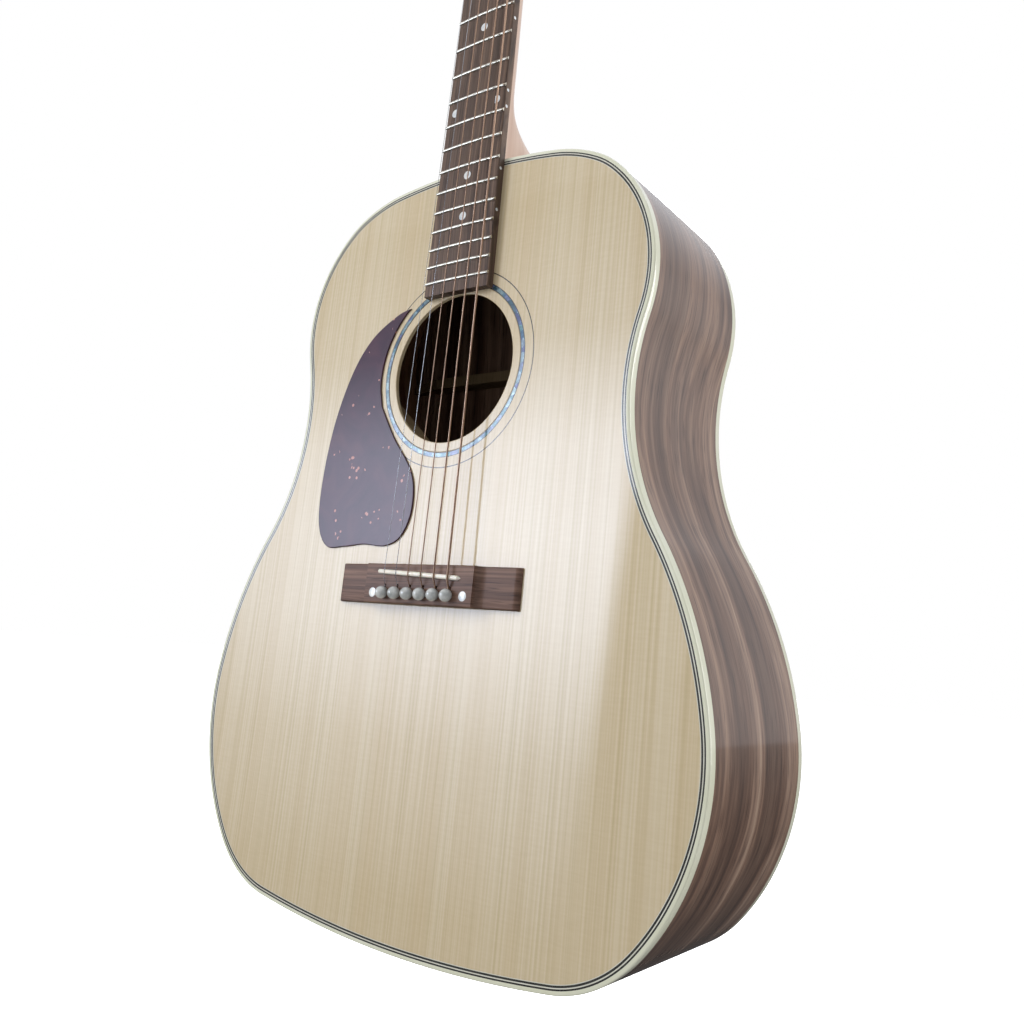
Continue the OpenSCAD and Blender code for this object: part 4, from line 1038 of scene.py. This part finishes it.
def makeStrings():
    tree = makeWireTree()
    groups = [("stringsPlain", range(strings["plain"]), "steelWire", "plain_steel", "plain_strings"),
              ("stringsWound", range(strings["plain"], 6), "bronze", "bronze_wire", "wound_strings")]
    for name, members, finish, slotName, node in groups:
        points, edges, radii = [], [], []
        for i in members:
            path = stringPath(i)
            edges += [(len(points) + k, len(points) + k + 1) for k in range(len(path) - 1)]
            points += path
            radii += [strings["diameters"][i] / 2 * mm] * len(path)
        mesh = bpy.data.meshes.new("paths")
        mesh.from_pydata([[c * mm for c in p] for p in points], edges, [])
        mesh.attributes.new("wireRadius", "FLOAT", "POINT").data.foreach_set("value", radii)
        wires = runTree(tree, mesh, {"Sides": 12, "Finish": finishes[finish]})
        wires.materials.clear()
        addPiece(name, wires, finish, [node], sharp=50)
    print("strings")


makeStrings()


# Tuners and strap pin
wheelY = neck["headThickness"] + 2
wormY = wheelY + 2
wormGap = tuners["wheelRadius"] + tuners["wormRadius"] + tuners["gearGap"]


def onSide(i):
    return -1 if i < 3 else 1


# A turned tool laid along the head's depth, or along a key's axis
def backward(profile, segments, z=0):
    tool = turnProfile(profile, segments)
    tool.transform(moved(0, neck["headThickness"], z) @ turned(-90, "X"))
    return tool


def alongWorm(profile, i):
    tool = turnProfile(profile, 32)
    tool.transform(moved(0, wormY, wormGap) @ turned(onSide(i) * 90, "Y"))
    return tool


def makePost(i, place):
    face = neck["faceThickness"]
    post = turnProfile([(0.05, face + 13.9), (2.2, face + 13.9), (2.95, face + 13.3), (2.95, face + 12),
                        (2.5, face + 11), (2.48, face + 7), (2.5, face + 3.6), (3.0, face + 3),
                        (3.0, -wheelY), (5.8, -wheelY), (5.8, -wheelY - 4), (0.05, -wheelY - 4)], 48)
    slotTool = boxMesh((-0.9, -4, face + 9.2), (0.9, 4, face + 11.2))
    node = f"string_post_{i + 1}"
    addPiece(f"stringPost{i + 1}", carve(post, [slotTool]), "nickel", [node], node, place=place)


def makeHousing(i):
    head = neck["headThickness"]
    casing = roundEdges(boxMesh((-8.5, head, -7.4), (8.5, head + 9, 12.9)), 1.8, 4)
    lug = backward([(3.6, 0), (3.6, 1.4), (3.2, 1.8), (1.25, 1.8), (1.25, 0)], 36, -tuners["screwDrop"])
    tools = [alongWorm([(3.0, -6.4), (3.0, 6.4)], i), alongWorm([(2.06, -7.9), (2.06, 24)], i),
             backward([(6.2, -1), (6.2, 6.5)], 48)]
    return joinMeshes([carve(casing, tools), lug])


def makeKey(i, x, z):
    start = abs(x)
    shaft = turnProfile([(0.05, start - 7.5), (2.0, start - 7.5), (2.0, start - 6), (2.6, start - 6),
                         (2.6, start + 6), (2.0, start + 6), (2.0, 40), (2.6, 40.6), (3.3, 42.6), (3.4, 44),
                         (3.0, 44.6), (0.05, 44.6)], 40)
    outline = [onArc(a, 7, (4, 50)) for a in range(-90, 91, 10)]
    outline += [onArc(a, 7, (-4, 50)) for a in range(90, 271, 10)]
    key = joinMeshes([shaft, cutPlate([outline], -3.5, 3.5, 1.6, 4)])
    node = f"tuner_key_{i + 1}"
    addPiece(f"tunerKey{i + 1}", key, "nickel", [node], node,
             place=headPlace @ moved(0, wormY, z + wormGap) @ turned(onSide(i) * 90, "Y"))


def makeTuners():
    head, face = neck["headThickness"], neck["faceThickness"]
    forward = turned(90, "X")
    bushing = turnProfile([(3.05, -head), (5.0, -head), (5.0, face), (6.8, face), (6.8, face + 0.7),
                           (6.1, face + 1.3), (4.4, face + 1.6), (3.05, face + 1.6)], 48)
    bushings, housings, screwPlaces = [], [], []
    for i in range(6):
        x, z = postPlace(i)
        place = headPlace @ moved(x, 0, z)
        ring = bushing.copy()
        ring.transform(place @ forward)
        bushings.append(ring)
        makePost(i, place @ forward)
        housings.append(makeHousing(i))
        housings[-1].transform(place)
        makeKey(i, x, z)
        screwPlaces.append(fromHead(x, head + 1.8, z - tuners["screwDrop"]))
    addPiece("tunerBushings", joinMeshes(bushings), "nickel", ["tuner_bushings"])
    addPiece("tunerHousings", joinMeshes(housings), "nickel", ["tuner_housings"])
    screw = turnProfile([(1.15, -6), (1.15, 0), (2.4, 0.05), (2.3, 0.5), (1.7, 1.1), (0.9, 1.3), (0.05, 1.0)], 24)
    screws = copyOnPoints(screw, screwPlaces, "nickel", (-math.pi / 2 - headPitch, 0, 0))
    addPiece("tunerScrews", screws, "nickel", ["tuner_screws"])
    print("tuners")


strapPin = [(0.05, -3), (3.2, -2.9), (5.2, -2.5), (6.5, -1.6), (7.0, -0.4), (7.0, 0.6), (6.6, 1.9),
            (5.6, 3.0), (4.7, 4.4), (4.5, 5.8), (5.0, 7.2), (6.6, 8.2), (7.4, 8.9), (7.4, 10), (5.0, 10),
            (5.0, 27), (0.05, 30)]
cover = {"thickness": 1.6,
         "edge": [(9, 1.5), (10.6, 4), (10, 9), (7.6, 15), (5.2, 22), (4.4, 28), (3, 32.5), (0, 34)]}


def makeCover():
    right = smoothCurve(cover["edge"], 6)
    outline = right + [(-x, z) for x, z in right[-2::-1]]
    face = -neck["faceThickness"]
    addPiece("rodCover", cutPlate([outline], face - cover["thickness"], face, 0.4, 3), "black",
             ["truss_rod_cover"], place=headPlace)


makeTuners()
addPiece("strapPin", turnProfile(strapPin, 64), "binding", ["end_pin"])
makeCover()

# Pieces that keep their own shape and take a finish
keptPieces = {"brace": ["x_brace_bass", "x_brace_treble", "upper_brace", "tone_bars", "finger_braces",
                        "soundhole_braces", "back_braces", "back_strip"],
              "mahogany": ["neck_block", "tail_block", "front_linings", "back_linings", "side_strips"],
              "maple": ["bridge_plate"], "board": ["tail_wedge"], "bone": ["nut"], "nickel": ["cover_screws"],
              "rodSteel": ["truss_rod"], "brass": ["truss_rod_nut", "string_balls"]}
for finish, nodes in keptPieces.items():
    for node in nodes:
        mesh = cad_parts[node].data
        mesh.materials.clear()
        mesh.materials.append(finishes[finish])
print("kept pieces painted")

# Camera, light and floor
view = {"place": (412.1, -491.2, 189.3), "yaw": 36.17, "pitch": 11.04, "roll": 5.06, "lens": 32.98,
        "shiftX": -0.0514, "shiftY": -0.0409}


def makeCamera():
    data = bpy.data.cameras.new("camera")
    data.lens, data.sensor_width = view["lens"], 36
    data.shift_x, data.shift_y = view["shiftX"], view["shiftY"]
    data.clip_start = 0.01
    camera = addObject("camera", data)
    camera.matrix_world = (moved(*view["place"])
                           @ turned(view["yaw"], "Z")
                           @ turned(90 + view["pitch"], "X")
                           @ turned(view["roll"], "Z"))
    scene.camera = camera


lights = {"glow": {"place": (-1.75, -1.6, 0.5), "size": (2.1, 2.0), "strength": 9.2, "slant": 0.1,
                   "colour": "#E0EAFF",
                   "across": [(0.0, "#000000"), (0.4, "#D0D0D0"), (0.7, "#FFFFFF"), (0.9, "#FFFFFF"),
                              (0.93, "#000000")],
                   "up": [(0.0, "#000000"), (0.2, "#8C8C8C"), (0.38, "#EEEEEE"), (0.5, "#FFFFFF"),
                          (0.62, "#F0F0F0"), (0.78, "#707070"), (1.0, "#000000")]},
          "key": {"place": (-1.4, -1.7, 1.3), "size": (1.2, 1.2), "watts": 30},
          "side": {"place": (2.0, 1.1, 0.75), "size": (1.3, 1.5), "watts": 28},
          "back": {"place": (-0.9, 2.0, 1.1), "size": (1.4, 1.4), "watts": 26},
          "roomDiffuse": 0.68, "roomGloss": 5.0, "floorZ": -0.35, "floorGlow": 0.8,
          "roomRamp": [(0.0, "#1C1B1B"), (0.495, "#1C1B1B"), (0.505, "#4C4C4E"), (0.72, "#4C4C4E"),
                       (0.95, "#8E8F92")]}


def addSoftbox(name, place, aim, size, watts):
    data = bpy.data.lights.new(name, "AREA")
    data.shape, data.size, data.size_y, data.energy = "RECTANGLE", size[0], size[1], watts
    light = addObject(name, data)
    light.location = place
    light.rotation_euler = (Vector(aim) - Vector(place)).to_track_quat("-Z", "Y").to_euler()
    return light


# A large diffuser that only shows in gloss; it fades towards its left, upper and lower edges
def addGlow():
    glow = lights["glow"]
    width, height = glow["size"]
    x, y, z = glow["place"]
    mesh = bpy.data.meshes.new("glowDiffuser")
    corners = ((-1, -1), (-1, 1), (1, 1), (1, -1))
    mesh.from_pydata([(x + a * width / 2, y, z + b * height / 2) for a, b in corners], [], [[0, 1, 2, 3]])
    material = bpy.data.materials.new("glowingDiffuser")
    material.use_nodes = True
    tree = material.node_tree
    tree.nodes.clear()
    place = addNode(tree, "ShaderNodeSeparateXYZ", Vector=objectPlace(tree))
    leaning = calculate(tree, "MULTIPLY_ADD", place.outputs["Z"], -glow["slant"], place.outputs["X"])
    across = calculate(tree, "DIVIDE", calculate(tree, "SUBTRACT", leaning, x - width / 2), width)
    upward = calculate(tree, "DIVIDE", calculate(tree, "SUBTRACT", place.outputs["Z"], z - height / 2), height)
    fadeAcross, fadeUp = addRamp(tree, across, glow["across"]), addRamp(tree, upward, glow["up"])
    level = calculate(tree, "MULTIPLY", calculate(tree, "MULTIPLY", fadeAcross, fadeUp), glow["strength"])
    shine = addNode(tree, "ShaderNodeEmission", Strength=level, Color=linear(glow["colour"]))
    addNode(tree, "ShaderNodeOutputMaterial", Surface=shine)
    mesh.materials.append(material)
    panel = addObject("glowDiffuser", mesh)
    panel.visible_camera = panel.visible_diffuse = panel.visible_shadow = False


def makeStudio():
    scene.view_settings.view_transform = "Standard"
    world = bpy.data.worlds.new("studio")
    scene.world = world
    world.use_nodes = True
    tree = world.node_tree
    room = tree.nodes["Background"]
    room.inputs["Color"].default_value = linear("#F4F6FA")
    room.inputs["Strength"].default_value = lights["roomDiffuse"]
    direction = addNode(tree, "ShaderNodeTexCoord").outputs["Generated"]
    upward = addNode(tree, "ShaderNodeSeparateXYZ", Vector=direction)
    height = calculate(tree, "MULTIPLY_ADD", upward.outputs["Z"], 0.5, 0.5)
    dim = addNode(tree, "ShaderNodeBackground", Strength=lights["roomGloss"],
                  Color=addRamp(tree, height, lights["roomRamp"]))
    backdrop = addNode(tree, "ShaderNodeBackground", Color=(1, 1, 1, 1), Strength=1.0)
    path = addNode(tree, "ShaderNodeLightPath")
    gloss = addNode(tree, "ShaderNodeMixShader", in0=path.outputs["Is Glossy Ray"], in1=room, in2=dim)
    seen = addNode(tree, "ShaderNodeMixShader", in0=path.outputs["Is Camera Ray"], in1=gloss, in2=backdrop)
    tree.links.new(seen.outputs[0], tree.nodes["World Output"].inputs["Surface"])
    addGlow()
    for name in ("key", "side", "back"):
        box = lights[name]
        light = addSoftbox(name + "Softbox", box["place"], (0, 0, 0.3), box["size"], box["watts"])
        light.visible_glossy = name != "key"
    floor = bpy.data.meshes.new("floorPlane")
    z = lights["floorZ"]
    floor.from_pydata([(-20, -20, z), (20, -20, z), (20, 20, z), (-20, 20, z)], [], [[0, 1, 2, 3]])
    material, tree, shader = startMaterial("paleFloor", Roughness=0.9, Specular_IOR_Level=0.0,
                                           Emission_Color=(1, 1, 1, 1), Emission_Strength=lights["floorGlow"])
    mottle = addNoise(tree, Scale=2.0)
    paint(tree, shader, addRamp(tree, mottle, [(0.3, "#FAFAFA"), (0.7, "#FDFDFD")]))
    floor.materials.append(material)
    plane = addObject("floorPlane", floor)
    plane.visible_glossy = plane.visible_diffuse = False


makeCamera()
makeStudio()
